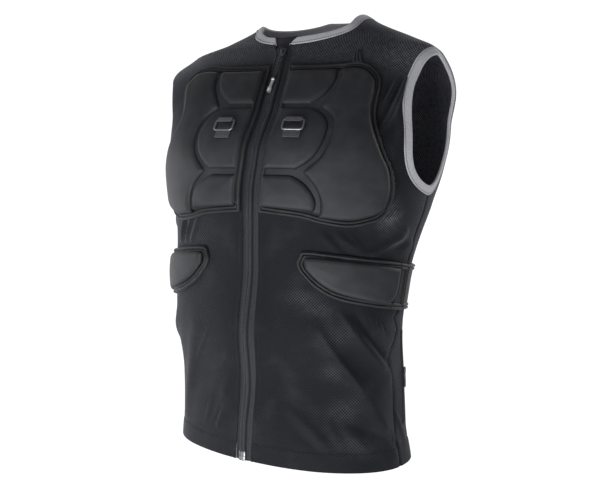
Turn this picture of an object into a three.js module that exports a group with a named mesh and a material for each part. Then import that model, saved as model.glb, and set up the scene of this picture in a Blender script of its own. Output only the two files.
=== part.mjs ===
// Sleeveless protective vest with foam chest pads, a waist belt and a front zip.
// Millimetres, +Z up, the wearer faces -Y and has their left side at +X.
// The origin lies between the two neck points at the top of the neck binding, where the vest sits on
// the shoulders.
import * as THREE from 'three';

// Heights of the main edges.
const hemZ = -603;
const tipZ = -55;
const neckPointZ = -14.5;
const neckFrontZ = -63.5;
const neckBackZ = -7.5;
const neckFall = 1.5;

// Torso sections from top to bottom. front and back are depths from the side line at y = side,
// the powers say how square each half is (2 is an ellipse), twist is in degrees about Z,
// lean moves the section sideways and tilt lowers its left side, in mm for each metre.
const sectionColumns = [
  'half', 'front', 'back', 'side', 'frontPower', 'backPower', 'twist', 'lean', 'tilt',
];
const sections = [
  { z: 10, row: [52, 44, 49, 0, 1.95, 2.0, 0, 1.5, 0] },
  { z: 0, row: [65, 50, 46, 0, 1.85, 2.0, 0, 4.5, 0] },
  { z: -20, row: [100, 58, 66, -1, 1.77, 2.2, 0, 10.5, 42] },
  { z: -40, row: [154, 65.5, 90, 1, 1.82, 2.5, 0, 15.5, 61] },
  { z: -55, row: [193, 69.5, 114, -2.5, 1.95, 2.9, 0, 9, 66] },
  { z: -100, row: [215, 82.5, 134, -15, 2.27, 3.3, 5, 0.5, 64] },
  { z: -150, row: [202, 105, 138, -22, 2.4, 3.3, 6.5, 0, 68] },
  { z: -210, row: [193, 130, 133, -22, 2.4, 2.9, 4, -2.5, 64] },
  { z: -260, row: [185, 128, 122, -23, 2.35, 2.4, 1.5, -5, 61] },
  { z: -310, row: [177, 110, 110, -36, 2.25, 2.25, 1.3, -8, 49] },
  { z: -370, row: [170, 96, 100, -48, 2.2, 2.2, 2, -11, 34] },
  { z: -430, row: [165, 98, 99, -50, 2.2, 2.2, 1.3, -13, 25] },
  { z: -500, row: [162, 103, 105, -39, 2.2, 2.2, 0, -12, 16] },
  { z: -560, row: [163, 108, 110, -36, 2.2, 2.2, -1.7, -12, 28] },
  { z: -610, row: [170, 111, 112, -34, 2.2, 2.2, -3, -11, 42] },
];

// The shoulders sit a little askew: sway moves the armholes to the right, growing with height and width.
const shoulderSway = { by: 14, fromZ: -190, overZ: 120, fromX: 70, overX: 110 };

// Armhole seen from the side: reach before and behind the side line, and how the egg leans.
const armhole = {
  top: tipZ, bottom: -248.5, power: 2.45, front: 68.5, back: 43, frontLean: 0.28, backLean: 0.13,
};

// Layers, as distances out from the inside of the cloth.
const clothThick = 2;
const flangeGap = 1.2;
const blockGap = 0.8;
const seamGap = 0.35;
const seatGap = 0.6;
const flangeThick = 2.1;
const chestBlockTop = 14.5;
const beltBlockTop = 12;
const beltStripTop = 5.5;
const blockRoll = 8;
const rimHeight = 0.45;
const bindingWide = 10;
const bindingThick = 3.4;
const bindingEdge = 0.35 * bindingThick;
const armBindingGap = 0.9;
const neckBindingGap = 0.6;

// Front zip: half widths from the centre line.
const zip = { opening: 12, tapeOuter: 11, tapeInner: 0.6, tapeThick: 1.2 };
const coil = { half: 2.6, flatHalf: 1, top: 4, shoulder: 3 };
const zipEnds = { top: -68, garageTop: -46, garageHalf: 5.5, boxHalf: 5, boxTall: 12, boxThick: 4.2 };
const slider = { z: -75, wide: 9, long: 13, low: 4.4, thick: 3.4, bevel: 0.6, narrow: 0.6 };
const pullCord = {
  wide: 4.4, thick: 2.2, start: -78, end: -111, startLift: 9.4, middleLift: 9.7, endLift: 8.6,
};
const pullEnd = { long: 22, radius: 2.4, gap: 0.5, sides: 10 };

// Outlines of the padded pieces on the left side as girth from the centre front and height.
// Each side is a smooth curve through its points, and the four sides meet at the corners.
const padOutlines = {
  chest_base: {
    left: [[14, -284], [14, -90]],
    top: [[14, -90], [54, -91], [88, -89], [110, -86], [128, -90]],
    right: [
      [163, -289], [176, -277], [184, -254], [182, -237], [174, -220], [161, -200], [144, -171], [140, -150],
      [145, -116], [140, -101], [128, -90],
    ],
    bottom: [[14, -284], [70, -289], [97, -295], [131, -298], [163, -289]],
    cells: [10, 13],
  },
  collar_block: {
    left: [[19, -149], [19, -102]],
    top: [[19, -102], [55, -102], [84, -101]],
    right: [[57, -149], [65, -144], [75, -135], [82, -123], [85, -112], [84, -101]],
    bottom: [[19, -149], [38, -149], [57, -149]],
    cells: [6, 5],
  },
  loop_block: {
    left: [[19, -230], [19, -155]],
    top: [[19, -155], [40, -155], [61, -155]],
    right: [[61, -230], [72, -223], [82, -212], [88, -199], [89, -186], [85, -173], [75, -162], [61, -155]],
    bottom: [[19, -230], [40, -230], [61, -230]],
    cells: [6, 8],
  },
  rib_block: {
    left: [[19, -276], [19, -237]],
    top: [[19, -237], [38, -237], [57, -237]],
    right: [[87, -280], [90, -275], [90, -266], [84, -255], [72, -244], [57, -237]],
    bottom: [[19, -276], [54, -278], [87, -280]],
    cells: [6, 5],
  },
  pec_block: {
    left: [
      [94, -287], [96, -276], [95, -264], [89, -251], [79, -240], [72, -233], [78, -225], [88, -214],
      [94, -200], [94, -185], [90, -170], [80, -159], [72, -152], [80, -139], [87, -126], [90, -113],
      [89, -101],
    ],
    top: [[89, -101], [108, -98], [124, -101]],
    right: [
      [158, -281], [169, -272], [175, -253], [173, -237], [167, -221], [154, -201], [138, -174], [133, -152],
      [137, -124], [135, -113], [124, -101],
    ],
    bottom: [[94, -287], [130, -289], [158, -281]],
    cells: [5, 18],
  },
  belt_block: {
    left: [[77, -353], [76, -342]],
    top: [[76, -342], [83, -338], [131, -341], [187, -348]],
    right: [[178, -394], [185, -373], [187, -348]],
    bottom: [[77, -353], [96, -371], [122, -384], [178, -394]],
    cells: [9, 4],
  },
};

// The belt runs from its front tip to the side seam, then round the back.
const belt = { sideHigh: -344, sideLow: -405, backHigh: -342, backLow: -407 };
const beltTip = {
  left: [[68, -356], [68, -336]],
  bottom: [[68, -356], [90, -377], [118, -391], [162, -399]],
  top: [[68, -336], [75, -330], [131, -335]],
  cells: [10, 4],
};

// Main folds of the cloth: a ridge from one girth and height to another, its height and its half width.
// Girth runs from the centre front, to the left if positive, and on past the side seam to the back.
const foldColumns = ['s0', 'z0', 's1', 'z1', 'rise', 'wide'];
const foldEnds = { start: 0.15, span: 0.7 };
const folds = [
  [92, -428, 160, -520, 6, 13],
  [135, -424, 190, -490, 5, 12],
  [165, -500, 205, -585, 5, 13],
  [60, -470, 105, -585, 4, 15],
  [100, -311, 138, -322, 3, 7],
  [176, -302, 232, -322, 4, 9],
  [-30, -500, -45, -560, 4, 10],
  [-160, -432, -200, -475, 5, 12],
  [-90, -440, -130, -560, 4, 15],
  [-184, -296, -232, -322, 5, 9],
  [262, -430, 288, -500, 5, 11],
  [300, -440, 370, -560, 5, 16],
  [-280, -440, -350, -550, 5, 16],
  [290, -312, 380, -282, 4, 14],
  [-300, -282, -390, -312, 4, 14],
];

// Cells of the cloth panels across and along, rows of them beside an armhole,
// columns under one half of the neck, stations along the zip, and how late columns gather to the top.
const frontCells = [13, 28];
const backCells = [16, 27];
const armRows = 11;
const neckColumns = { front: 6, back: 4 };
const backBeltCells = [26, 3];
const garageCells = [4, 3];
const pocketCells = [2, 9];
const pocketPullCells = [1, 3];
const zipStations = 18;
const cordStations = 6;
const cordSides = 8;
const columnGather = 3;

// Rings: wire, size between wire centres, and the strip of webbing that holds the upper bar.
const ring = { s: 47, z: -176, wire: 1.3, wide: 27.4, tall: 15.5, corner: 4, clear: 0.5 };
const webbing = { wide: 18, thick: 1.4, tail: 25, wrapDeg: 235 };

// Small pieces: a gathered tab on the chest pad and the side pocket zip with its puller.
const tab = { s: 108, top: -71, bottom: -89, wide: 9, thick: 2.6 };
const pocket = { pastSeam: 18, top: -430, bottom: -560, half: 5, thick: 1.8, sink: 0.1 };
const pocketPull = { top: -484, bottom: -511, half: 2.6, thick: 2, gap: 0.4 };

const black = { color: 0x24252a, roughness: 0.85, metalness: 0 };
const padBlack = { color: 0x2c2d31, roughness: 0.6, metalness: 0 };
const grey = { color: 0x7b7b80, roughness: 0.8, metalness: 0 };
const steel = { color: 0xb4b5b8, roughness: 0.35, metalness: 1 };
const plastic = { color: 0x17181a, roughness: 0.5, metalness: 0 };

const vest = new THREE.Group();

function addPiece(name, geometry, look, parent = vest) {
  const mesh = new THREE.Mesh(geometry, new THREE.MeshStandardMaterial(look));
  mesh.name = name;
  parent.add(mesh);
  return mesh;
}

const clamp01 = (v) => Math.min(1, Math.max(0, v));
const smooth = (v) => THREE.MathUtils.smoothstep(v, 0, 1);
const mix = (a, b, t) => a + (b - a) * t;

// Slopes of the section table that keep every column free of overshoot.
const slopes = sections.map((_, k) => sectionColumns.map((_, c) => {
  if (k === 0 || k === sections.length - 1) return 0;
  const step = (i) => (sections[i + 1].row[c] - sections[i].row[c]) / (sections[i + 1].z - sections[i].z);
  const before = step(k - 1);
  const after = step(k);
  return before * after > 0 ? 2 * before * after / (before + after) : 0;
}));

function sectionAt(z) {
  let k = 0;
  while (k < sections.length - 2 && z < sections[k + 1].z) k += 1;
  const span = sections[k + 1].z - sections[k].z;
  const t = clamp01((z - sections[k].z) / span);
  const found = {};
  sectionColumns.forEach((name, c) => {
    const rise = sections[k + 1].row[c] - sections[k].row[c];
    const cubic = t * t * (3 - 2 * t) * rise;
    const start = t * (1 - t) * (1 - t) * span * slopes[k][c];
    const end = t * t * (t - 1) * span * slopes[k + 1][c];
    found[name] = sections[k].row[c] + cubic + start + end;
  });
  return found;
}

// Quarter arcs of one section, before and behind the side line, with their running length.
const arcSteps = 64;
const arcCache = new Map();
function arcsAt(z) {
  if (!arcCache.has(z)) {
    const sec = sectionAt(z);
    const quarter = (depth, power) => {
      const points = [];
      for (let i = 0; i <= arcSteps; i += 1) {
        const t = Math.PI / 2 * i / arcSteps;
        const x = sec.half * Math.sin(t) ** (2 / power);
        const y = depth * Math.cos(t) ** (2 / power);
        const last = points[i - 1];
        points.push({ x, y, run: last ? last.run + Math.hypot(x - last.x, y - last.y) : 0 });
      }
      return points;
    };
    const front = quarter(-sec.front, sec.frontPower);
    const back = quarter(sec.back, sec.backPower);
    arcCache.set(z, { sec, front, back });
  }
  return arcCache.get(z);
}

const girth = (z, face) => arcsAt(z)[face][arcSteps].run;

function alongArc(points, run) {
  let k = 0;
  while (k < arcSteps - 1 && points[k + 1].run < run) k += 1;
  const t = (run - points[k].run) / (points[k + 1].run - points[k].run);
  return [mix(points[k].x, points[k + 1].x, t), mix(points[k].y, points[k + 1].y, t)];
}

// Point of the torso at girth s from the centre front (past the side seam it runs on to the back).
function torso(s, z) {
  const { sec, front, back } = arcsAt(z);
  const run = Math.abs(s);
  const frontGirth = front[arcSteps].run;
  const past = back[arcSteps].run - (run - frontGirth);
  let [x, y] = run <= frontGirth ? alongArc(front, run) : alongArc(back, Math.abs(past));
  x *= (s < 0 ? -1 : 1) * (past < 0 ? -1 : 1);
  const turn = THREE.MathUtils.degToRad(sec.twist);
  const twistedX = Math.cos(turn) * x - Math.sin(turn) * y + sec.lean;
  const twistedY = Math.sin(turn) * x + Math.cos(turn) * y + sec.side;
  const { by, fromZ, overZ, fromX, overX } = shoulderSway;
  const sway = by * smooth((z - fromZ) / overZ) * smooth((Math.abs(x) - fromX) / overX);
  return new THREE.Vector3(twistedX - sway, twistedY, z - sec.tilt / 1000 * twistedX);
}

// Tangents and outward normal of the torso.
function frameAt(s, z) {
  const e = 0.5;
  const along = torso(s + e, z).sub(torso(s - e, z)).normalize();
  const rise = torso(s, z + e).sub(torso(s, z - e));
  const out = along.clone().cross(rise).normalize();
  return { along, out, up: out.clone().cross(along) };
}

const skin = (s, z, lift) => torso(s, z).addScaledVector(frameAt(s, z).out, lift);

// Girth share of an armhole edge at a height: 1 on the side line.
function armShare(z, face) {
  const t = (armhole.top - z) / (armhole.top - armhole.bottom);
  if (t <= 0 || t >= 1) return 1;
  const u = 2 * t - 1;
  const lean = 1 + armhole[`${face}Lean`] * u;
  const reach = armhole[face] * Math.sqrt(1 - Math.abs(u) ** armhole.power) * lean;
  const points = arcsAt(z)[face];
  let k = arcSteps;
  while (k > 0 && Math.abs(points[k].y) < reach) k -= 1;
  const part = (Math.abs(points[k].y) - reach) / (Math.abs(points[k].y) - Math.abs(points[k + 1].y));
  return mix(points[k].run, points[k + 1].run, part) / points[arcSteps].run;
}

// Height of the neck seam, falling from the neck point to the centre front or back.
function neckZ(share, face) {
  const low = face === 'front' ? neckFrontZ : neckBackZ;
  return mix(neckPointZ, low, (1 - share) ** neckFall);
}

// Closed solid between two lifted copies of a patch. map(u, v) gives girth and height.
function sheetGeometry(map, [nu, nv], inner, outer) {
  const positions = [];
  const index = [];
  const id = (layer, i, j) => (layer * (nv + 1) + j) * (nu + 1) + i;
  const facing = Math.sign(map(1, 0.5)[0] - map(0, 0.5)[0]);
  for (const lift of [inner, outer]) {
    for (let j = 0; j <= nv; j += 1) {
      for (let i = 0; i <= nu; i += 1) {
        const [s, z] = map(i / nu, j / nv);
        positions.push(...skin(s, z, lift(i / nu, j / nv, s, z)).toArray());
      }
    }
  }
  const quad = (a, b, c, d) => {
    if (facing > 0) index.push(a, b, c, a, c, d);
    else index.push(a, c, b, a, d, c);
  };
  for (let j = 0; j < nv; j += 1) {
    for (let i = 0; i < nu; i += 1) {
      quad(id(1, i, j), id(1, i + 1, j), id(1, i + 1, j + 1), id(1, i, j + 1));
      quad(id(0, i, j), id(0, i, j + 1), id(0, i + 1, j + 1), id(0, i + 1, j));
    }
  }
  for (let i = 0; i < nu; i += 1) {
    quad(id(0, i, 0), id(0, i + 1, 0), id(1, i + 1, 0), id(1, i, 0));
    quad(id(1, i, nv), id(1, i + 1, nv), id(0, i + 1, nv), id(0, i, nv));
  }
  for (let j = 0; j < nv; j += 1) {
    quad(id(1, 0, j), id(1, 0, j + 1), id(0, 0, j + 1), id(0, 0, j));
    quad(id(0, nu, j), id(0, nu, j + 1), id(1, nu, j + 1), id(1, nu, j));
  }
  return meshFrom(positions, index);
}

function meshFrom(positions, index) {
  const geometry = new THREE.BufferGeometry();
  geometry.setAttribute('position', new THREE.Float32BufferAttribute(positions, 3));
  geometry.setIndex(index);
  return geometry;
}

// Patch spanned by four side curves that meet at the corners.
function coons({ left, right, bottom, top }) {
  return (u, v) => [0, 1].map((k) => {
    const rows = mix(bottom(u)[k], top(u)[k], v);
    const columns = mix(left(v)[k], right(v)[k], u);
    const corners = mix(mix(bottom(0)[k], bottom(1)[k], u), mix(top(0)[k], top(1)[k], u), v);
    return rows + columns - corners;
  });
}

// Smooth curve through a few points, walked at even speed.
function through(points) {
  const curve = new THREE.SplineCurve(points.map(([s, z]) => new THREE.Vector2(s, z)));
  return (t) => curve.getPointAt(t).toArray();
}

// Lift of the cloth along its folds.
function foldLift(s, z) {
  return folds.reduce((sum, row) => {
    const fold = Object.fromEntries(foldColumns.map((name, k) => [name, row[k]]));
    const ds = fold.s1 - fold.s0;
    const dz = fold.z1 - fold.z0;
    const t = clamp01(((s - fold.s0) * ds + (z - fold.z0) * dz) / (ds * ds + dz * dz));
    const away = Math.hypot(s - fold.s0 - t * ds, z - fold.z0 - t * dz);
    const fade = Math.sin(Math.PI * (foldEnds.start + foldEnds.span * t));
    return sum + fold.rise * fade * Math.exp(-((away / fold.wide) ** 2));
  }, 0);
}

// Height on the side line of the armhole walked from the underarm (0) to the shoulder tip (1).
const armZ = (t) => mix(armhole.bottom, armhole.top, (1 - Math.cos(Math.PI * t)) / 2);

// Height and girth share round a panel half: side seam then armhole, neckline then shoulder seam.
const seamShare = (z, face) => 1 - seamGap / girth(z, face);
function armSide(face, rows) {
  const seamPart = 1 - armRows / rows;
  return (v) => {
    const onSeam = v <= seamPart;
    const z = onSeam ? mix(hemZ, armhole.bottom, v / seamPart) : armZ((v - seamPart) / (1 - seamPart));
    return [Math.min(armShare(z, face), seamShare(z, face)), z];
  };
}

function neckSide(face, columns, startShare) {
  const neckPart = neckColumns[face] / columns;
  return (u) => {
    const z = mix(neckPointZ, tipZ, (u - neckPart) / (1 - neckPart));
    if (u > neckPart) return [seamShare(z, face), z];
    const share = mix(startShare, seamShare(neckPointZ, face), u / neckPart);
    return [share, neckZ(share, face)];
  };
}

// Girth share and height over a panel half. Columns spread evenly at the hem and gather towards the
// armhole higher up, so that they end spread along the neck and the shoulder seam.
function panelPatch(sides) {
  const height = coons(sides);
  return (u, v) => {
    const start = sides.top(0)[0];
    const onTop = (sides.top(u)[0] - start) / (sides.top(1)[0] - start);
    const part = mix(u, onTop, v ** columnGather);
    return [mix(sides.left(v)[0], sides.right(v)[0], part), height(u, v)[1]];
  };
}

// One front half, from the zip to the side seam and armhole.
function frontPatch(sign) {
  const zipShare = (z) => zip.opening / girth(z, 'front');
  const topShare = zipShare(neckFrontZ);
  const topZ = neckZ(topShare, 'front');
  const patch = panelPatch({
    left: (v) => {
      const z = mix(hemZ, topZ, v);
      return [zipShare(z), z];
    },
    right: armSide('front', frontCells[1]),
    bottom: (u) => [mix(zipShare(hemZ), seamShare(hemZ, 'front'), u), hemZ],
    top: neckSide('front', frontCells[0], topShare),
  });
  return (u, v) => {
    const [share, z] = patch(u, v);
    return [sign * share * girth(z, 'front'), z];
  };
}

// The whole back, from the right side seam round to the left one; u runs from the left seam.
function backPatch() {
  const half = panelPatch({
    left: (v) => [0, mix(hemZ, neckBackZ, v)],
    right: armSide('back', backCells[1]),
    bottom: (u) => [u * seamShare(hemZ, 'back'), hemZ],
    top: neckSide('back', backCells[0] / 2, 0),
  });
  return (u, v) => {
    const across = 1 - 2 * u;
    const [share, z] = half(Math.abs(across), v);
    const fromSeam = girth(z, 'back') * (1 - Math.sign(across) * share);
    return [girth(z, 'front') + fromSeam, z];
  };
}

function addPanels() {
  const wrap = (s, z) => {
    const half = girth(z, 'front') + girth(z, 'back');
    return s > half ? s - 2 * half : s;
  };
  const layers = [0, clothThick].map((lift) => (u, v, s, z) => lift + foldLift(wrap(s, z), z));
  addPiece('front_panel_left', sheetGeometry(frontPatch(1), frontCells, ...layers), black);
  addPiece('front_panel_right', sheetGeometry(frontPatch(-1), frontCells, ...layers), black);
  addPiece('back_panel', sheetGeometry(backPatch(), backCells, ...layers), black);
}

function curvesOf({ left, right, bottom, top }) {
  return { left: through(left), right: through(right), bottom: through(bottom), top: through(top) };
}

// A padded block: full height inside, rolling down to its rim over a short distance.
const rimSteps = 24;
function blockGeometry(name, sign, bottomLift, topLift) {
  const { cells } = padOutlines[name];
  const sides = curvesOf(padOutlines[name]);
  const patch = coons(sides);
  const rim = Object.values(sides).flatMap((side) => {
    return Array.from({ length: rimSteps + 1 }, (_, k) => side(k / rimSteps));
  });
  const round = (s, z) => {
    const edge = Math.min(...rim.map(([rs, rz]) => Math.hypot(Math.abs(s) - rs, z - rz)));
    const t = 1 - clamp01(edge / blockRoll);
    return mix(bottomLift, topLift, mix(rimHeight, 1, Math.sqrt(1 - t * t)));
  };
  const map = (u, v) => {
    const [s, z] = patch(u, v);
    return [sign * s, z];
  };
  return sheetGeometry(map, cells, () => bottomLift, (u, v, s, z) => round(s, z));
}

function flatGeometry(outline, cells, sign, bottomLift, topLift) {
  const patch = coons(outline);
  const map = (u, v) => {
    const [s, z] = patch(u, v);
    return [sign * s, z];
  };
  return sheetGeometry(map, cells, () => bottomLift, () => topLift);
}

const flangeLift = clothThick + flangeGap;
const blockLift = flangeLift + flangeThick + blockGap;
const sideNames = [['left', 1], ['right', -1]];

function addChestPads() {
  for (const [side, sign] of sideNames) {
    const { chest_base: base } = padOutlines;
    const flange = flatGeometry(curvesOf(base), base.cells, sign, flangeLift, flangeLift + flangeThick);
    addPiece(`chest_base_${side}`, flange, padBlack);
    for (const name of ['collar_block', 'loop_block', 'rib_block', 'pec_block']) {
      addPiece(`${name}_${side}`, blockGeometry(name, sign, blockLift, chestBlockTop), padBlack);
    }
  }
}

function addBelt() {
  for (const [side, sign] of sideNames) {
    const seam = (v) => {
      const z = mix(belt.sideLow, belt.sideHigh, v);
      return [girth(z, 'front') - seamGap, z];
    };
    const outline = {
      left: through(beltTip.left),
      right: seam,
      bottom: through([...beltTip.bottom, seam(0)]),
      top: through([...beltTip.top, seam(1)]),
    };
    const flange = flatGeometry(outline, beltTip.cells, sign, flangeLift, flangeLift + flangeThick);
    addPiece(`belt_base_${side}`, flange, padBlack);
    addPiece(`belt_block_${side}`, blockGeometry('belt_block', sign, blockLift, beltBlockTop), padBlack);
  }
  const backBand = (u, v) => {
    const across = Math.abs(1 - 2 * u);
    const low = mix(belt.backLow, belt.sideLow, across);
    const high = mix(belt.backHigh, belt.sideHigh, across);
    const z = mix(low, high, v);
    return [girth(z, 'front') + seamGap + u * 2 * (girth(z, 'back') - seamGap), z];
  };
  const band = sheetGeometry(backBand, backBeltCells, () => flangeLift, () => beltStripTop);
  addPiece('belt_back', band, padBlack);
}

// Band swept along stations { point, across, out }, with a section of [across, out] corners.
function sweptGeometry(stations, section, closed) {
  const positions = [];
  const index = [];
  const n = section.length;
  for (const { point, across, out } of stations) {
    for (const [a, b] of section) {
      positions.push(...point.clone().addScaledVector(across, a).addScaledVector(out, b).toArray());
    }
  }
  const count = stations.length;
  for (let k = 0; k < (closed ? count : count - 1); k += 1) {
    const next = (k + 1) % count;
    for (let i = 0; i < n; i += 1) {
      const j = (i + 1) % n;
      index.push(k * n + i, next * n + j, next * n + i, k * n + i, k * n + j, next * n + j);
    }
  }
  if (!closed) {
    for (let i = 1; i < n - 1; i += 1) {
      const end = (count - 1) * n;
      index.push(0, i + 1, i);
      index.push(end, end + i, end + i + 1);
    }
  }
  const geometry = meshFrom(positions, index);
  if (signedVolume(positions, index) < 0) {
    for (let k = 0; k < index.length; k += 3) [index[k + 1], index[k + 2]] = [index[k + 2], index[k + 1]];
    geometry.setIndex(index);
  }
  return geometry;
}

function signedVolume(positions, index) {
  const corner = (k) => new THREE.Vector3().fromArray(positions, 3 * k);
  let volume = 0;
  for (let k = 0; k < index.length; k += 3) {
    volume += corner(index[k]).dot(corner(index[k + 1]).cross(corner(index[k + 2])));
  }
  return volume;
}

// Rounded strip section: across from the seam to the free edge, out over the cloth and under it.
function stripSection(wide, thick, gap, round) {
  const low = clothThick / 2 - thick / 2;
  const high = clothThick / 2 + thick / 2;
  return [
    [gap, low + round], [gap, high - round], [gap + round, high],
    [gap + wide - round, high], [gap + wide, high - round], [gap + wide, low + round],
    [gap + wide - round, low], [gap + round, low],
  ];
}

// Stations along an edge given as girth and height; across points away from the cloth.
function edgeStations(edge, places, closed) {
  const at = (t) => torso(...edge(closed ? t - Math.floor(t) : clamp01(t)));
  const e = 0.002;
  return places.map((t) => {
    const along = at(t + e).sub(at(t - e)).normalize();
    const { out } = frameAt(...edge(t));
    return { point: at(t), across: along.clone().cross(out).normalize(), out };
  });
}

const evenly = (from, to, count) => Array.from({ length: count }, (_, k) => mix(from, to, k / count));

// Girth and height on an armhole edge: underarm at 0, shoulder tip at a half, then down the back.
function armEdge(sign) {
  return (t) => {
    const face = t < 0.5 ? 'front' : 'back';
    const z = armZ(t < 0.5 ? 2 * t : 2 - 2 * t);
    const share = armShare(z, face);
    const run = face === 'front' ? share * girth(z, face) : girth(z, 'front') + (1 - share) * girth(z, face);
    return [sign * run, z];
  };
}

// Girth and height on the neck seam: from the right zip edge round the back to the left one.
function neckEdge(t) {
  const left = t > 0.5;
  const half = left ? 2 - 2 * t : 2 * t;
  const face = half < 0.5 ? 'front' : 'back';
  const startShare = zip.opening / girth(neckFrontZ, 'front');
  const share = half < 0.5 ? mix(startShare, 1, 2 * half) : 2 - 2 * half;
  const z = neckZ(share, face);
  const run = half < 0.5 ? share * girth(z, face) : girth(z, 'front') + (1 - share) * girth(z, face);
  return [left ? run : -run, z];
}

function addBindings() {
  const armSection = stripSection(bindingWide, bindingThick, armBindingGap, bindingEdge);
  const neckSection = stripSection(bindingWide, bindingThick, neckBindingGap, bindingEdge);
  for (const [side, sign] of sideNames) {
    const stations = edgeStations(armEdge(sign), evenly(0, 1, 2 * armRows), true);
    if (sign < 0) stations.forEach((station) => station.across.negate());
    addPiece(`arm_binding_${side}`, sweptGeometry(stations, armSection, true), grey);
  }
  const places = [
    ...evenly(0, 0.25, neckColumns.front),
    ...evenly(0.25, 0.75, 2 * neckColumns.back),
    ...evenly(0.75, 1, neckColumns.front),
    1,
  ];
  const stations = edgeStations(neckEdge, places, false);
  addPiece('neck_binding', sweptGeometry(stations, neckSection, false), grey);
}

// Frame standing on the torso: X along the girth, Y up the cloth, Z outwards.
function seat(s, z, lift) {
  const { along, out, up } = frameAt(s, z);
  const group = new THREE.Group();
  group.quaternion.setFromRotationMatrix(new THREE.Matrix4().makeBasis(along, up, out));
  group.position.copy(skin(s, z, lift));
  vest.add(group);
  return group;
}

// Strip along the front zip through some heights, with a section of [girth, lift] corners.
function zipStrip(heights, section) {
  const stations = heights.map((z) => {
    const { along, out } = frameAt(0, z);
    return { point: torso(0, z), across: along, out };
  });
  return sweptGeometry(stations, section, false);
}

function addFrontZip() {
  const coilBottom = hemZ + zipEnds.boxTall + seatGap;
  const coilHeights = [...evenly(coilBottom, zipEnds.top, zipStations), zipEnds.top];
  for (const [side, sign] of sideNames) {
    const inner = sign * zip.tapeInner;
    const outer = sign * zip.tapeOuter;
    const section = [[inner, 0], [outer, 0], [outer, zip.tapeThick], [inner, zip.tapeThick]];
    addPiece(`zip_tape_${side}`, zipStrip([hemZ, ...coilHeights], section), black);
  }
  const low = zip.tapeThick + seatGap;
  const coilSection = [
    [-coil.half, low], [coil.half, low], [coil.half, coil.shoulder],
    [coil.flatHalf, coil.top], [-coil.flatHalf, coil.top], [-coil.half, coil.shoulder],
  ];
  addPiece('zip_coil', zipStrip(coilHeights, coilSection), plastic);

  const garageMap = (u, v) => {
    const half = mix(zip.tapeOuter, zipEnds.garageHalf, smooth(2 * v));
    return [mix(-half, half, u), mix(zipEnds.top + seatGap, zipEnds.garageTop, v)];
  };
  addPiece('zip_garage', sheetGeometry(garageMap, garageCells, () => 0, () => clothThick), black);

  const box = new THREE.BoxGeometry(2 * zipEnds.boxHalf, zipEnds.boxTall, zipEnds.boxThick);
  const boxLift = zip.tapeThick + seatGap + zipEnds.boxThick / 2;
  addPiece('zip_box', box, steel, seat(0, hemZ + zipEnds.boxTall / 2, boxLift));

  const half = slider.wide / 2;
  const tail = slider.long / 2;
  const narrow = half * slider.narrow;
  const shield = new THREE.Shape();
  shield.moveTo(-half, tail);
  shield.lineTo(-narrow, -tail);
  shield.lineTo(narrow, -tail);
  shield.lineTo(half, tail);
  const bevel = { bevelThickness: slider.bevel, bevelSize: slider.bevel, bevelSegments: 1 };
  const depth = slider.thick - 2 * slider.bevel;
  const body = new THREE.ExtrudeGeometry(shield, { depth, steps: 1, ...bevel });
  addPiece('zip_slider', body, plastic, seat(0, slider.z, slider.low + slider.bevel));

  const path = new THREE.CatmullRomCurve3([
    skin(0, pullCord.start, pullCord.startLift),
    skin(0, mix(pullCord.start, pullCord.end, 0.5), pullCord.middleLift),
    skin(0, pullCord.end, pullCord.endLift),
  ]);
  const { along } = frameAt(0, slider.z);
  const stations = Array.from({ length: cordStations + 1 }, (_, k) => {
    const forward = path.getTangentAt(k / cordStations);
    const out = along.clone().cross(forward).normalize();
    return { point: path.getPointAt(k / cordStations), across: along, out };
  });
  const cord = Array.from({ length: cordSides }, (_, k) => {
    const turn = 2 * Math.PI * (k + 0.5) / cordSides;
    return [pullCord.wide / 2 * Math.cos(turn), pullCord.thick / 2 * Math.sin(turn)];
  });
  addPiece('zip_pull_cord', sweptGeometry(stations, cord, false), black);

  const ferrule = new THREE.CylinderGeometry(pullEnd.radius, pullEnd.radius, pullEnd.long, pullEnd.sides);
  ferrule.translate(0, -pullEnd.long / 2 - pullEnd.gap, 0);
  addPiece('zip_pull_end', ferrule, steel, seat(0, pullCord.end, pullCord.endLift));
}

// Webbing seen from its edge: a strip lying on the block whose upper end wraps the ring's bar.
function webbingGeometry() {
  const inside = ring.wire + ring.clear;
  const outside = inside + webbing.thick;
  const outline = new THREE.Shape();
  const start = -Math.PI / 2;
  const end = start + THREE.MathUtils.degToRad(webbing.wrapDeg);
  outline.moveTo(-webbing.tail, -outside);
  outline.lineTo(0, -outside);
  outline.absarc(0, 0, outside, start, end, false);
  outline.absarc(0, 0, inside, end, start, true);
  outline.lineTo(-webbing.tail, -inside);
  const sweep = { depth: webbing.wide, steps: 1, bevelEnabled: false, curveSegments: 7 };
  const strip = new THREE.ExtrudeGeometry(outline, sweep);
  strip.translate(0, 0, -webbing.wide / 2);
  const upAlongY = new THREE.Vector3(0, 1, 0);
  const outAlongZ = new THREE.Vector3(0, 0, 1);
  return strip.applyMatrix4(new THREE.Matrix4().makeBasis(upAlongY, outAlongZ, new THREE.Vector3(1, 0, 0)));
}

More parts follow.
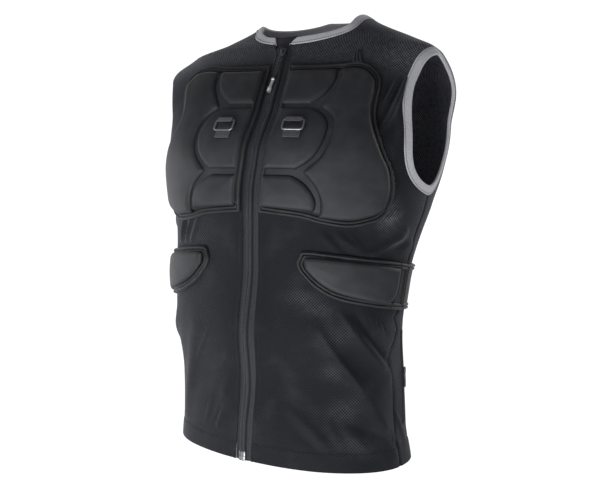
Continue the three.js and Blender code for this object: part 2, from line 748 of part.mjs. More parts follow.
// Rounded rectangular ring of round wire, its upper bar on the local X axis.
function ringGeometry() {
  const halfWide = ring.wide / 2 - ring.corner;
  const halfTall = ring.tall / 2 - ring.corner;
  const arcs = [[1, 1, 0], [-1, 1, 90], [-1, -1, 180], [1, -1, 270]];
  const perCorner = 4;
  const stations = arcs.flatMap(([signX, signY, from]) => Array.from({ length: perCorner + 1 }, (_, k) => {
    const turn = THREE.MathUtils.degToRad(from + 90 * k / perCorner);
    const across = new THREE.Vector3(Math.cos(turn), Math.sin(turn), 0);
    const centre = new THREE.Vector3(signX * halfWide, signY * halfTall - ring.tall / 2, 0);
    return { point: centre.addScaledVector(across, ring.corner), across, out: new THREE.Vector3(0, 0, 1) };
  }));
  const sides = 6;
  const wire = Array.from({ length: sides }, (_, k) => {
    const turn = 2 * Math.PI * (k + 0.5) / sides;
    return [ring.wire * Math.cos(turn), ring.wire * Math.sin(turn)];
  });
  return sweptGeometry(stations, wire, true);
}

function addRings() {
  const barLift = chestBlockTop + seatGap + webbing.thick + ring.clear + ring.wire;
  for (const [side, sign] of sideNames) {
    const bar = seat(sign * ring.s, ring.z, barLift);
    addPiece(`loop_webbing_${side}`, webbingGeometry(), black, bar);
    addPiece(`loop_ring_${side}`, ringGeometry(), steel, bar);
  }
}

function addSmallPieces() {
  const tabLift = flangeLift + flangeThick + seatGap + tab.thick / 2;
  const tabSeat = seat(tab.s, (tab.top + tab.bottom) / 2, tabLift);
  addPiece('chest_tab', new THREE.BoxGeometry(tab.wide, tab.top - tab.bottom, tab.thick), black, tabSeat);

  const strip = (half, top, bottom) => (u, v) => {
    const z = mix(bottom, top, v);
    return [girth(z, 'front') + pocket.pastSeam + mix(-half, half, u), z];
  };
  const on = (lift) => (u, v, s, z) => lift + foldLift(s, z);
  const low = clothThick - pocket.sink;
  const zipMap = strip(pocket.half, pocket.top, pocket.bottom);
  addPiece('pocket_zip', sheetGeometry(zipMap, pocketCells, on(low), on(low + pocket.thick)), plastic);
  const pullMap = strip(pocketPull.half, pocketPull.top, pocketPull.bottom);
  const pullLow = low + pocket.thick + pocketPull.gap;
  const pull = sheetGeometry(pullMap, pocketPullCells, on(pullLow), on(pullLow + pocketPull.thick));
  addPiece('pocket_zip_pull', pull, plastic);
}

addPanels();
addChestPads();
addBelt();
addBindings();
addFrontZip();
addRings();
addSmallPieces();

export default vest;
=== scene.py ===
import math

import bpy
import numpy as np
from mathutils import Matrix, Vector


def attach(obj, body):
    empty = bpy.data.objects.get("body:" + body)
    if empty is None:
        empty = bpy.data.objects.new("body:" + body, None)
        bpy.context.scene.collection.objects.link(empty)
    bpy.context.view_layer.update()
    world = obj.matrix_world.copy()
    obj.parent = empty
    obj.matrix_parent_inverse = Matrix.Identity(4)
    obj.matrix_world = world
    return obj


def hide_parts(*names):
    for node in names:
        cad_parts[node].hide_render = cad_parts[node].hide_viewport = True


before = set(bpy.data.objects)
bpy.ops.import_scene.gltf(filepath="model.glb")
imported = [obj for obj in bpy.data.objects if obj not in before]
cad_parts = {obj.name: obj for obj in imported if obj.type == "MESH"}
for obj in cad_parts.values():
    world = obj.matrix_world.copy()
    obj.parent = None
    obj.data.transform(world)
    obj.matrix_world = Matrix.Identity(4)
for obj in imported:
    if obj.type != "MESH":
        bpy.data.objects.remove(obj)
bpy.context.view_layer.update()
print("frame loaded:", len(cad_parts), "nodes")

mm = 0.001
sides = (("left", 1), ("right", -1))

# camera, matched to the photograph
viewpoint = {"azimuth": 30, "distance": 1.1, "aim": (0, -0.010, -0.325), "focalPixels": 770,
             "imageWide": 610, "centreX": 308, "sensor": 36, "clip": 0.05}


def placeCamera():
    data = bpy.data.cameras.new("camera")
    data.sensor_width = viewpoint["sensor"]
    data.lens = viewpoint["sensor"] * viewpoint["focalPixels"] / viewpoint["imageWide"]
    data.shift_x = (viewpoint["imageWide"] / 2 - viewpoint["centreX"]) / viewpoint["imageWide"]
    data.clip_start = viewpoint["clip"]
    turn = math.radians(viewpoint["azimuth"])
    back = Vector((math.sin(turn), -math.cos(turn), 0))
    camera = bpy.data.objects.new("camera", data)
    camera.location = Vector(viewpoint["aim"]) + back * viewpoint["distance"]
    camera.rotation_mode = "QUATERNION"
    camera.rotation_quaternion = (-back).to_track_quat("-Z", "Y")
    bpy.context.scene.collection.objects.link(camera)
    bpy.context.scene.camera = camera


placeCamera()
print("camera placed")

# the body form that every layer of the vest lies on, in mm, as in the part's source
bodyForm = {
    # z, half width, front and back depth from the side line, side line y, front and back power,
    # twist in degrees, lean, and tilt in mm for each metre
    "rows": [
        (10, 52, 44, 49, 0, 1.95, 2.0, 0, 1.5, 0),
        (0, 65, 50, 46, 0, 1.85, 2.0, 0, 4.5, 0),
        (-20, 100, 58, 66, -1, 1.77, 2.2, 0, 10.5, 42),
        (-40, 154, 65.5, 90, 1, 1.82, 2.5, 0, 15.5, 61),
        (-55, 193, 69.5, 114, -2.5, 1.95, 2.9, 0, 9, 66),
        (-100, 215, 82.5, 134, -15, 2.27, 3.3, 5, 0.5, 64),
        (-150, 202, 105, 138, -22, 2.4, 3.3, 6.5, 0, 68),
        (-210, 193, 130, 133, -22, 2.4, 2.9, 4, -2.5, 64),
        (-260, 185, 128, 122, -23, 2.35, 2.4, 1.5, -5, 61),
        (-310, 177, 110, 110, -36, 2.25, 2.25, 1.3, -8, 49),
        (-370, 170, 96, 100, -48, 2.2, 2.2, 2, -11, 34),
        (-430, 165, 98, 99, -50, 2.2, 2.2, 1.3, -13, 25),
        (-500, 162, 103, 105, -39, 2.2, 2.2, 0, -12, 16),
        (-560, 163, 108, 110, -36, 2.2, 2.2, -1.7, -12, 28),
        (-610, 170, 111, 112, -34, 2.2, 2.2, -3, -11, 42),
    ],
    "sway": 14, "swayFrom": -190, "swayOver": 120, "swayIn": 70, "swayAcross": 110,
    "zStep": 0.5, "zMargin": 4,
    "arcSteps": 320, "turnFiner": 4,
    "hem": -603,
}


def smooth(v):
    v = np.clip(v, 0, 1)
    return v * v * (3 - 2 * v)


def mix(a, b, t):
    return a + (b - a) * t


def sectionColumns(z):
    rows = np.array(bodyForm["rows"], float)[::-1]
    knots, values = rows[:, 0], rows[:, 1:]
    step = np.diff(values, axis=0) / np.diff(knots)[:, None]
    before, after = step[:-1], step[1:]
    same = before * after > 0
    slope = np.zeros_like(values)
    slope[1:-1] = np.where(same, 2 * before * after / np.where(same, before + after, 1), 0)
    k = np.clip(np.searchsorted(knots, z, side="right") - 1, 0, len(knots) - 2)
    span = (knots[k + 1] - knots[k])[:, None]
    t = np.clip((z - knots[k])[:, None] / span, 0, 1)
    rise = values[k + 1] - values[k]
    found = values[k] + t * t * (3 - 2 * t) * rise
    found = found + t * (1 - t) ** 2 * span * slope[k] + t * t * (t - 1) * span * slope[k + 1]
    return found.T


def buildForm():
    low, high = bodyForm["rows"][-1][0] - bodyForm["zMargin"], bodyForm["rows"][0][0] + bodyForm["zMargin"]
    z = np.arange(low, high, bodyForm["zStep"])
    half, front, back, side, frontPower, backPower, twist, lean, tilt = sectionColumns(z)
    n = bodyForm["arcSteps"]
    t = np.linspace(0, math.pi / 2, bodyForm["turnFiner"] * n + 1)
    share = np.linspace(0, 1, n + 1)
    form = {"z": z, "side": side, "twist": np.radians(twist), "lean": lean, "tilt": tilt * mm, "t": t}
    for face, depth, power in (("front", -front, frontPower), ("back", back, backPower)):
        x = half[:, None] * np.sin(t) ** (2 / power[:, None])
        y = depth[:, None] * np.cos(t) ** (2 / power[:, None])
        run = np.hypot(np.diff(x, axis=1), np.diff(y, axis=1)).cumsum(axis=1)
        run = np.concatenate([np.zeros((len(z), 1)), run], axis=1)
        form[face] = np.array([[np.interp(share * r[-1], r, line) for line in (a, b)]
                               for r, a, b in zip(run, x, y)])
        form[face + "Girth"] = run[:, -1]
        form[face + "Run"] = run / run[:, -1:]
        form[face + "Depth"] = np.abs(depth)
        form[face + "Power"] = power
    # one row runs from the centre front over the side seam to the centre back
    form["ring"] = np.concatenate([form["front"], form["back"][:, :, -2::-1]], axis=2)
    return form


form = buildForm()


def girth(z, face):
    return np.interp(z, form["z"], form[face + "Girth"])


def torso(s, z):
    s, z = np.broadcast_arrays(np.asarray(s, float), np.asarray(z, float))
    frontGirth, backGirth = girth(z, "front"), girth(z, "back")
    run = np.abs(s)
    share = np.where(run <= frontGirth, run / frontGirth, 1 + (run - frontGirth) / backGirth)
    past = share > 2
    column = np.where(past, 4 - share, share) * bodyForm["arcSteps"]
    row = (z - form["z"][0]) / bodyForm["zStep"]
    k = np.clip(row.astype(int), 0, len(form["z"]) - 2)
    c = np.clip(column.astype(int), 0, 2 * bodyForm["arcSteps"] - 1)
    tz, tc = row - k, column - c
    ring = form["ring"]

    def level(i):
        low = mix(ring[k, i, c], ring[k, i, c + 1], tc)
        high = mix(ring[k + 1, i, c], ring[k + 1, i, c + 1], tc)
        return mix(low, high, tz)

    x = level(0) * np.where(s < 0, -1, 1) * np.where(past, -1, 1)
    y = level(1)
    twist, lean, side, tilt = (np.interp(z, form["z"], form[name])
                               for name in ("twist", "lean", "side", "tilt"))
    twistedX = np.cos(twist) * x - np.sin(twist) * y + lean
    twistedY = np.sin(twist) * x + np.cos(twist) * y + side
    sway = bodyForm["sway"] * smooth((z - bodyForm["swayFrom"]) / bodyForm["swayOver"])
    sway = sway * smooth((np.abs(x) - bodyForm["swayIn"]) / bodyForm["swayAcross"])
    return np.stack([twistedX - sway, twistedY, z - tilt * twistedX], -1)


def unit(v):
    return v / np.linalg.norm(v, axis=-1, keepdims=True)


def formFrame(s, z):
    step = bodyForm["zStep"]
    along = unit(torso(s + step, z) - torso(s - step, z))
    out = unit(np.cross(along, torso(s, z + step) - torso(s, z - step)))
    return along, out, np.cross(out, along)


def skin(s, z, lift):
    s, z = np.broadcast_arrays(np.asarray(s, float), np.asarray(z, float))
    return torso(s, z) + formFrame(s, z)[1] * np.broadcast_to(np.asarray(lift, float), s.shape)[..., None]


print("body form ready")


# materials
def linear(hexColour):
    parts = [int(hexColour[i:i + 2], 16) / 255 for i in (1, 3, 5)]
    return [c / 12.92 if c <= 0.04045 else ((c + 0.055) / 1.055) ** 2.4 for c in parts] + [1]


def addNode(tree, kind, settings=None, links=None):
    node = tree.nodes.new(kind)
    for key, value in (settings or {}).items():
        if isinstance(key, int) or key in node.inputs:
            node.inputs[key].default_value = value
        else:
            setattr(node, key, value)
    for key, socket in (links or {}).items():
        tree.links.new(socket, node.inputs[key])
    return node


def startMaterial(name, settings):
    material = bpy.data.materials.new(name)
    material.use_nodes = True
    tree = material.node_tree
    tree.nodes.clear()
    shader = addNode(tree, "ShaderNodeBsdfPrincipled", settings)
    addNode(tree, "ShaderNodeOutputMaterial", None, {"Surface": shader.outputs[0]})
    return material, tree, shader


def weaveWaves(tree, pitch):
    # place on the cloth in mm, and waves of the pitch along it and up it
    place = addNode(tree, "ShaderNodeAttribute", {"attribute_name": "weave"}).outputs["Vector"]
    scaling = {"operation": "SCALE", "Scale": 2 * math.pi / pitch}
    turns = addNode(tree, "ShaderNodeVectorMath", scaling, {0: place})
    waves = addNode(tree, "ShaderNodeVectorMath", {"operation": "COSINE"}, {0: turns.outputs[0]})
    axes = addNode(tree, "ShaderNodeSeparateXYZ", None, {0: waves.outputs[0]})
    return place, axes.outputs[0], axes.outputs[1]


def dress(tree, shader, colour, relief, height):
    tree.links.new(colour.outputs[2], shader.inputs["Base Color"])
    settings = {"Strength": relief[0], "Distance": relief[1]}
    bump = addNode(tree, "ShaderNodeBump", settings, {"Height": height})
    tree.links.new(bump.outputs[0], shader.inputs["Normal"])


# knitted polyester mesh: open cells show the dark inside, and the yarn is lightened by a painted sheen and
# painted highlights, over the shoulders partly the knit's own lighter look where it is pulled tight
meshCloth = {"pitch": 3.8, "patch": 42, "speck": 6, "gap": "#0c0d10", "yarn": "#1a1b20", "worn": "#2b2c32",
             "paintedSheenTone": "#74757e", "relief": (0.5, 0.0007)}


def makeMeshCloth():
    material, tree, shader = startMaterial("polyester_mesh", {
        "Roughness": 0.75, "IOR": 1.5, "Specular IOR Level": 0.15,
        "Sheen Weight": 0.4, "Sheen Roughness": 0.4, "Sheen Tint": linear("#9a9ca6")})
    place, along, up = weaveWaves(tree, meshCloth["pitch"])   # twice the real cells
    # the third value of the weave is the share of painted sheen and highlights
    paintedSheen = addNode(tree, "ShaderNodeSeparateXYZ", None, {0: place}).outputs[2]
    knit = addNode(tree, "ShaderNodeMath", {"operation": "MULTIPLY"}, {0: along, 1: up})
    cells = addNode(tree, "ShaderNodeMapRange", {
        "interpolation_type": "SMOOTHSTEP", "From Min": -0.7, "From Max": 0.7},
        {"Value": knit.outputs[0]}).outputs[0]
    cloud = addNode(tree, "ShaderNodeTexNoise", {
        "Scale": 1 / meshCloth["patch"], "Detail": 4.0}, {"Vector": place})
    patches = addNode(tree, "ShaderNodeMapRange", {
        "interpolation_type": "SMOOTHSTEP", "From Min": 0.48, "From Max": 0.74},
        {"Value": cloud.outputs["Fac"]})
    yarn = addNode(tree, "ShaderNodeMix", {
        "data_type": "RGBA", 6: linear(meshCloth["yarn"]), 7: linear(meshCloth["worn"])},
        {0: patches.outputs[0]})
    specks = addNode(tree, "ShaderNodeTexNoise", {
        "Scale": 1 / meshCloth["speck"], "Detail": 3.0}, {"Vector": place})
    uneven = addNode(tree, "ShaderNodeMapRange", {
        "From Min": 0.35, "From Max": 0.65, "To Min": 0.65, "To Max": 1.35},
        {"Value": specks.outputs["Fac"]})
    share = addNode(tree, "ShaderNodeMath", {"operation": "MULTIPLY"}, {0: paintedSheen, 1: uneven.outputs[0]})
    light = addNode(tree, "ShaderNodeMix", {"data_type": "RGBA", 7: linear(meshCloth["paintedSheenTone"])}, {
        0: share.outputs[0], 6: yarn.outputs[2]})
    colour = addNode(tree, "ShaderNodeMix", {"data_type": "RGBA", 6: linear(meshCloth["gap"])}, {
        0: cells, 7: light.outputs[2]})
    dress(tree, shader, colour, meshCloth["relief"], cells)
    return material


# brushed elastane jersey over moulded foam: smooth, deep black, a soft bloom where it turns away
padCloth = {"pitch": 1.6, "base": "#1b1c20", "worn": "#25262b", "groove": "#060607", "patch": 22,
            "knit": 0.12, "relief": (0.25, 0.0003)}


def makePadCloth():
    material, tree, shader = startMaterial("elastane_jersey", {
        "Roughness": 0.58, "IOR": 1.5, "Specular IOR Level": 0.35,
        "Sheen Weight": 0.12, "Sheen Roughness": 0.35, "Sheen Tint": linear("#b9bac4")})
    place, along, up = weaveWaves(tree, padCloth["pitch"])   # three times the real stitch
    knit = addNode(tree, "ShaderNodeMath", {"operation": "MULTIPLY"}, {0: along, 1: up})
    cloud = addNode(tree, "ShaderNodeTexNoise", {
        "Scale": 1 / padCloth["patch"], "Detail": 5.0}, {"Vector": place})
    patches = addNode(tree, "ShaderNodeMapRange", {
        "interpolation_type": "SMOOTHSTEP", "From Min": 0.35, "From Max": 0.7},
        {"Value": cloud.outputs["Fac"]})
    share = addNode(tree, "ShaderNodeMath", {"operation": "MULTIPLY_ADD", 1: padCloth["knit"]}, {
        0: knit.outputs[0], 2: patches.outputs[0]})
    nap = addNode(tree, "ShaderNodeMix", {
        "data_type": "RGBA", 6: linear(padCloth["base"]), 7: linear(padCloth["worn"])}, {0: share.outputs[0]})
    # a dark tone along the grooves, drawn in for the shadow that lies there
    groove = addNode(tree, "ShaderNodeSeparateXYZ", None, {0: place}).outputs[2]
    colour = addNode(tree, "ShaderNodeMix", {"data_type": "RGBA", 7: linear(padCloth["groove"])}, {
        0: groove, 6: nap.outputs[2]})
    dress(tree, shader, colour, padCloth["relief"], knit.outputs[0])
    return material


# woven elastic binding: fine ribs along the strip, a matt mid grey with lighter raised threads
bindingCloth = {"pitch": 1.5, "speck": 2.9, "low": "#8b8b91", "high": "#bababf", "relief": (0.4, 0.0003)}


def makeBindingCloth():
    material, tree, shader = startMaterial("elastic_binding", {
        "Roughness": 0.82, "IOR": 1.5,
        "Sheen Weight": 0.3, "Sheen Roughness": 0.5, "Sheen Tint": linear("#d8d8dc")})
    place, along, up = weaveWaves(tree, bindingCloth["pitch"])
    ribs = addNode(tree, "ShaderNodeMath", {"operation": "MULTIPLY_ADD", 1: 0.5}, {0: along, 2: up})
    raised = addNode(tree, "ShaderNodeMapRange", {"From Min": -1.2, "From Max": 1.2, "To Max": 0.35}, {
        "Value": ribs.outputs[0]})
    speck = addNode(tree, "ShaderNodeTexNoise", {
        "Scale": 1 / bindingCloth["speck"], "Detail": 3.0}, {"Vector": place})
    share = addNode(tree, "ShaderNodeMath", {"operation": "MULTIPLY_ADD", 1: 0.9}, {
        0: speck.outputs["Fac"], 2: raised.outputs[0]})
    colour = addNode(tree, "ShaderNodeMix", {
        "data_type": "RGBA", 6: linear(bindingCloth["low"]), 7: linear(bindingCloth["high"])},
        {0: share.outputs[0]})
    dress(tree, shader, colour, bindingCloth["relief"], ribs.outputs[0])
    return material


# woven polyester zip tape: herringbone twill, black with a slight grain
tapeCloth = {"pitch": 2.8, "fold": 3.0, "low": "#0e0f12", "high": "#2e2f35", "relief": (0.35, 0.0003)}


def makeTapeCloth():
    material, tree, shader = startMaterial("polyester_tape", {
        "Roughness": 0.66, "IOR": 1.5, "Specular IOR Level": 0.3,
        "Sheen Weight": 0.14, "Sheen Roughness": 0.4, "Sheen Tint": linear("#a8aab2")})
    place = addNode(tree, "ShaderNodeAttribute", {"attribute_name": "weave"}).outputs["Vector"]
    axes = addNode(tree, "ShaderNodeSeparateXYZ", None, {0: place})
    fold = addNode(tree, "ShaderNodeMath", {"operation": "PINGPONG", 1: tapeCloth["fold"]}, {
        0: axes.outputs[0]})
    slant = addNode(tree, "ShaderNodeMath", {"operation": "ADD"}, {0: fold.outputs[0], 1: axes.outputs[1]})
    turns = addNode(tree, "ShaderNodeMath", {   # coarser than real
        "operation": "MULTIPLY", 1: 2 * math.pi / tapeCloth["pitch"]}, {0: slant.outputs[0]})
    twill = addNode(tree, "ShaderNodeMath", {"operation": "COSINE"}, {0: turns.outputs[0]})
    share = addNode(tree, "ShaderNodeMapRange", {
        "interpolation_type": "SMOOTHSTEP", "From Min": -0.8, "From Max": 0.9}, {"Value": twill.outputs[0]})
    colour = addNode(tree, "ShaderNodeMix", {
        "data_type": "RGBA", 6: linear(tapeCloth["low"]), 7: linear(tapeCloth["high"])},
        {0: share.outputs[0]})
    dress(tree, shader, colour, tapeCloth["relief"], twill.outputs[0])
    return material


# nylon webbing: ribbed strap with a dull shine on the ribs
strapCloth = {"pitch": 1.5, "low": "#292a2e", "high": "#5a5b62", "shaded": "#0a0a0b", "relief": (0.5, 0.0004)}


def makeStrapCloth():
    material, tree, shader = startMaterial("nylon_webbing", {
        "Roughness": 0.5, "IOR": 1.53,
        "Sheen Weight": 0.2, "Sheen Roughness": 0.3, "Sheen Tint": linear("#c4c5cc")})
    place, ribs = weaveWaves(tree, strapCloth["pitch"])[:2]
    share = addNode(tree, "ShaderNodeMapRange", {
        "interpolation_type": "SMOOTHSTEP", "From Min": -0.9, "From Max": 0.9}, {"Value": ribs})
    ribbed = addNode(tree, "ShaderNodeMix", {
        "data_type": "RGBA", 6: linear(strapCloth["low"]), 7: linear(strapCloth["high"])},
        {0: share.outputs[0]})
    # a dark tone inside the ring, drawn in for the shadow that lies there
    shade = addNode(tree, "ShaderNodeSeparateXYZ", None, {0: place}).outputs[2]
    colour = addNode(tree, "ShaderNodeMix", {"data_type": "RGBA", 7: linear(strapCloth["shaded"])}, {
        0: shade, 6: ribbed.outputs[2]})
    dress(tree, shader, colour, strapCloth["relief"], ribs)
    return material


# hard finishes: two tones, size of their mottle in mm and the roughness between its dark and light marks
hardFinishes = {
    # moulded polyacetal: hard black plastic with a satin face and faint flow marks
    "moulded_polyacetal": {"tones": ("#222327", "#3a3b42"), "mark": 2.5, "rough": (0.26, 0.4),
                           "fixed": {"IOR": 1.48}},
    # nickel-plated steel wire: bright but tumbled, so its highlights are soft
    "nickel_steel": {"tones": ("#6c6d72", "#a2a3a8"), "mark": 1.4, "rough": (0.32, 0.48),
                     "fixed": {"Metallic": 1.0}},
    # chromed brass: bright with a polishing haze that spreads its highlights
    "chromed_brass": {"tones": ("#e0e1e4", "#f6f6f8"), "mark": 1.1, "rough": (0.36, 0.48),
                      "fixed": {"Metallic": 1.0}},
}
hardRelief = (0.08, 0.0002)


def makeHardFinish(name):
    look = hardFinishes[name]
    material, tree, shader = startMaterial(name, look["fixed"])
    place = addNode(tree, "ShaderNodeTexCoord").outputs["Object"]
    marks = addNode(tree, "ShaderNodeTexNoise", {
        "Scale": 1 / (look["mark"] * mm), "Detail": 3.0}, {"Vector": place}).outputs["Fac"]
    low, high = (linear(tone) for tone in look["tones"])
    colour = addNode(tree, "ShaderNodeMix", {"data_type": "RGBA", 6: low, 7: high}, {0: marks})
    rough = addNode(tree, "ShaderNodeMapRange", {
        "From Min": 0.3, "From Max": 0.7, "To Min": look["rough"][0], "To Max": look["rough"][1]},
        {"Value": marks})
    tree.links.new(rough.outputs[0], shader.inputs["Roughness"])
    dress(tree, shader, colour, hardRelief, marks)
    return material


finishes = {
    "mesh_cloth": makeMeshCloth(), "pad_cloth": makePadCloth(), "edge_binding": makeBindingCloth(),
    "zip_tape": makeTapeCloth(), "webbing": makeStrapCloth(),
    "zip_plastic": makeHardFinish("moulded_polyacetal"), "ring_steel": makeHardFinish("nickel_steel"),
    "pull_chrome": makeHardFinish("chromed_brass"),
}
print("materials made:", len(finishes))


# pieces
def addPiece(name, points, faces, finish, weave=None, body="vest", stands=(), crease=50):
    points = np.asarray(points, float).reshape(-1, 3)
    volume = 0.0
    for block in faces:
        block = np.asarray(block)
        for i in range(1, block.shape[1] - 1):
            a, b, c = (points[block[:, k]] for k in (0, i, i + 1))
            volume += float((a * np.cross(b, c)).sum())
    faces = [face for block in faces for face in (np.asarray(block)[:, ::-1] if volume < 0 else block)]
    mesh = bpy.data.meshes.new(name)
    mesh.from_pydata((points * mm).tolist(), [], [list(map(int, face)) for face in faces])
    mesh.polygons.foreach_set("use_smooth", [True] * len(mesh.polygons))
    mesh.set_sharp_from_angle(angle=math.radians(crease))
    if weave is not None:
        field = np.zeros((len(points), 3), np.float32)
        weave = np.asarray(weave, float).reshape(len(points), -1)
        field[:, :weave.shape[1]] = weave
        mesh.attributes.new("weave", "FLOAT_VECTOR", "POINT").data.foreach_set("vector", field.ravel())
    mesh.materials.append(finishes[finish])
    piece = bpy.data.objects.new(name, mesh)
    bpy.context.scene.collection.objects.link(piece)
    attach(piece, body)
    if stands:
        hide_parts(*stands)
    return piece


def gridFaces(nu, nv, start=0):
    i, j = np.meshgrid(np.arange(nu), np.arange(nv))
    a = (start + j * (nu + 1) + i).ravel()
    return np.stack([a, a + 1, a + nu + 2, a + nu + 1], 1)


def shellFaces(nu, nv):
    # outer grid, then inner grid, then the rim between them
    count = (nu + 1) * (nv + 1)
    low = np.arange(nu + 1)
    high = nv * (nu + 1) + np.arange(nu, -1, -1)
    right = np.arange(nv + 1) * (nu + 1) + nu
    left = np.arange(nv, -1, -1) * (nu + 1)
    loop = np.concatenate([low[:-1], right[:-1], high[:-1], left[:-1]])
    after = np.roll(loop, -1)
    rim = np.stack([loop, loop + count, after + count, after], 1)
    return [gridFaces(nu, nv), gridFaces(nu, nv, count)[:, ::-1], rim]


def addShell(name, outer, inner, finish, weave, within=None, **more):
    nv, nu = outer.shape[0] - 1, outer.shape[1] - 1
    points = np.concatenate([outer.reshape(-1, 3), inner.reshape(-1, 3)])
    layers = (weave, weave if within is None else within)
    field = np.concatenate([np.asarray(layer).reshape(len(points) // 2, -1) for layer in layers])
    return addPiece(name, points, shellFaces(nu, nv), finish, field, **more)


def loftFaces(count, n, closed, start=0):
    k, i = np.meshgrid(np.arange(count if closed else count - 1), np.arange(n), indexing="ij")
    following, j = (k + 1) % count, (i + 1) % n
    quads = np.stack([k * n + i, k * n + j, following * n + j, following * n + i], -1).reshape(-1, 4) + start
    if closed:
        return [quads]
    caps = np.stack([np.arange(n)[::-1], (count - 1) * n + np.arange(n)]) + start
    return [quads, caps]


def addLoft(name, rings, finish, weave=None, closed=False, **more):
    count, n = rings.shape[:2]
    return addPiece(name, rings, loftFaces(count, n, closed), finish, weave, **more)


def spreadEnds(count, pull):
    # shares from 0 to 1, closer together near the ends
    t = np.linspace(0, 1, count + 1)
    return mix(t, (1 - np.cos(math.pi * t)) / 2, pull)


def runOf(line):
    return np.concatenate([[0], np.linalg.norm(np.diff(line, axis=0), axis=1).cumsum()])


# stitches are short capsules of sewing thread, in mm; each ring has its share of the length, radius and rise
thread = {"long": 2.3, "gap": 1.1, "radius": 0.32, "sides": 5,
          "rings": ((0, 0.35, -0.5), (0.2, 0.95, 0.2), (0.8, 0.95, 0.2), (1, 0.35, -0.5))}


def addStitches(name, lines, finish="zip_tape"):
    points, faces, weave = [], [[], []], []
    n = thread["sides"]
    for line, normals in lines:
        run = runOf(line)
        count = int(run[-1] / (thread["long"] + thread["gap"]))
        for at in np.linspace(0, run[-1] - thread["long"], max(count, 2)):
            first, last = (np.array([np.interp(at + d, run, line[:, k]) for k in range(3)])
                           for d in (0, thread["long"]))
            out = np.array([np.interp(at, run, normals[:, k]) for k in range(3)])
            axis = last - first
            across = unit(np.cross(axis, out))
            quads, caps = loftFaces(len(thread["rings"]), n, False, len(points))
            faces[0].extend(quads.tolist())
            faces[1].extend(caps.tolist())
            for share, radius, rise in thread["rings"]:
                for turn in np.linspace(0, 2 * math.pi, n, endpoint=False):
                    side = across * math.cos(turn) + out * math.sin(turn)
                    points.append(first + axis * share + (side * radius + out * rise) * thread["radius"])
                    weave.append((at, turn))
    return addPiece(name, points, [np.array(block) for block in faces], finish, weave)


def seamLine(s, z, lift):
    return skin(s, z, lift), formFrame(np.asarray(s, float), np.asarray(z, float))[1]


outlineSteps = {"curve": 60, "rim": 160, "parts": 24}


def curveThrough(points):
    p = np.array(points, float)
    n = len(p) - 1
    t = np.linspace(0, n, outlineSteps["curve"] * n + 1)
    k = np.minimum(t.astype(int), n - 1)
    w = (t - k)[:, None]
    a, b, c, d = p[np.maximum(k - 1, 0)], p[k], p[k + 1], p[np.minimum(k + 2, n)]
    v0, v1 = (c - a) / 2, (d - b) / 2
    line = (2 * b - 2 * c + v0 + v1) * w ** 3 + (3 * c - 3 * b - 2 * v0 - v1) * w ** 2 + v0 * w + b
    run = runOf(line)
    return lambda share: np.stack([np.interp(share * run[-1], run, line[:, i]) for i in (0, 1)], -1)


def coons(outline, u, v):
    left, right, bottom, top = (outline[side] for side in ("left", "right", "bottom", "top"))
    zero, one = np.zeros_like(u), np.ones_like(u)
    u2, v2 = u[..., None], v[..., None]
    rows = mix(bottom(u), top(u), v2)
    columns = mix(left(v), right(v), u2)
    corners = mix(mix(bottom(zero), bottom(one), u2), mix(top(zero), top(one), u2), v2)
    return rows + columns - corners


def rimDistance(outline, at):
    t = np.linspace(0, 1, outlineSteps["rim"])
    rim = np.concatenate([curve(t) for curve in outline.values()])
    parts = np.array_split(at.reshape(-1, 2), outlineSteps["parts"])
    found = [np.sqrt(((part[:, None] - rim[None]) ** 2).sum(-1).min(1)) for part in parts]
    return np.concatenate(found).reshape(at.shape[:-1])


# cloth panels
clothPanel = {
    "thick": 1.3, "top": 2.0, "seamGap": 0.12, "zipOpening": 12,
    "hemTall": 24, "hemGroove": 0.7, "hemGrooveHalf": 1.6, "hemRise": 0.5, "hemRiseOver": 1.5,
    "uneven": 0.35, "ripple": (17, 23), "rippleBend": (41, 37), "rippleShift": (0.6, 0.8),
    "seamDip": 1.5, "seamDipHalf": 2.4, "noSeam": 99,
    "zipSwing": 13.5, "swingFrom": -77, "swingOver": 28,
    # rise, place and half width of the ridge and the groove beside the zip
    "zipRidges": ((1.0, 1.6, 1.6), (-0.5, 5, 1)),
    "frontCells": (96, 250), "backCells": (150, 200), "armRows": 11, "frontRows": 28, "backRows": 27,
    "frontColumns": 13, "backColumns": 8, "frontNeck": 6, "backNeck": 4, "topPull": 3,
    "neckPoint": -14.5, "neckFront": -55, "neckBack": -7.5, "neckFall": 1.5, "tip": -55,
    "neckCorner": (0.4, 0.2), "cornerRise": 0.25,
}
armhole = {"top": -55, "bottom": -248.5, "power": 2.45, "front": 68.5, "back": 43, "frontLean": 0.28,
           "backLean": 0.13}

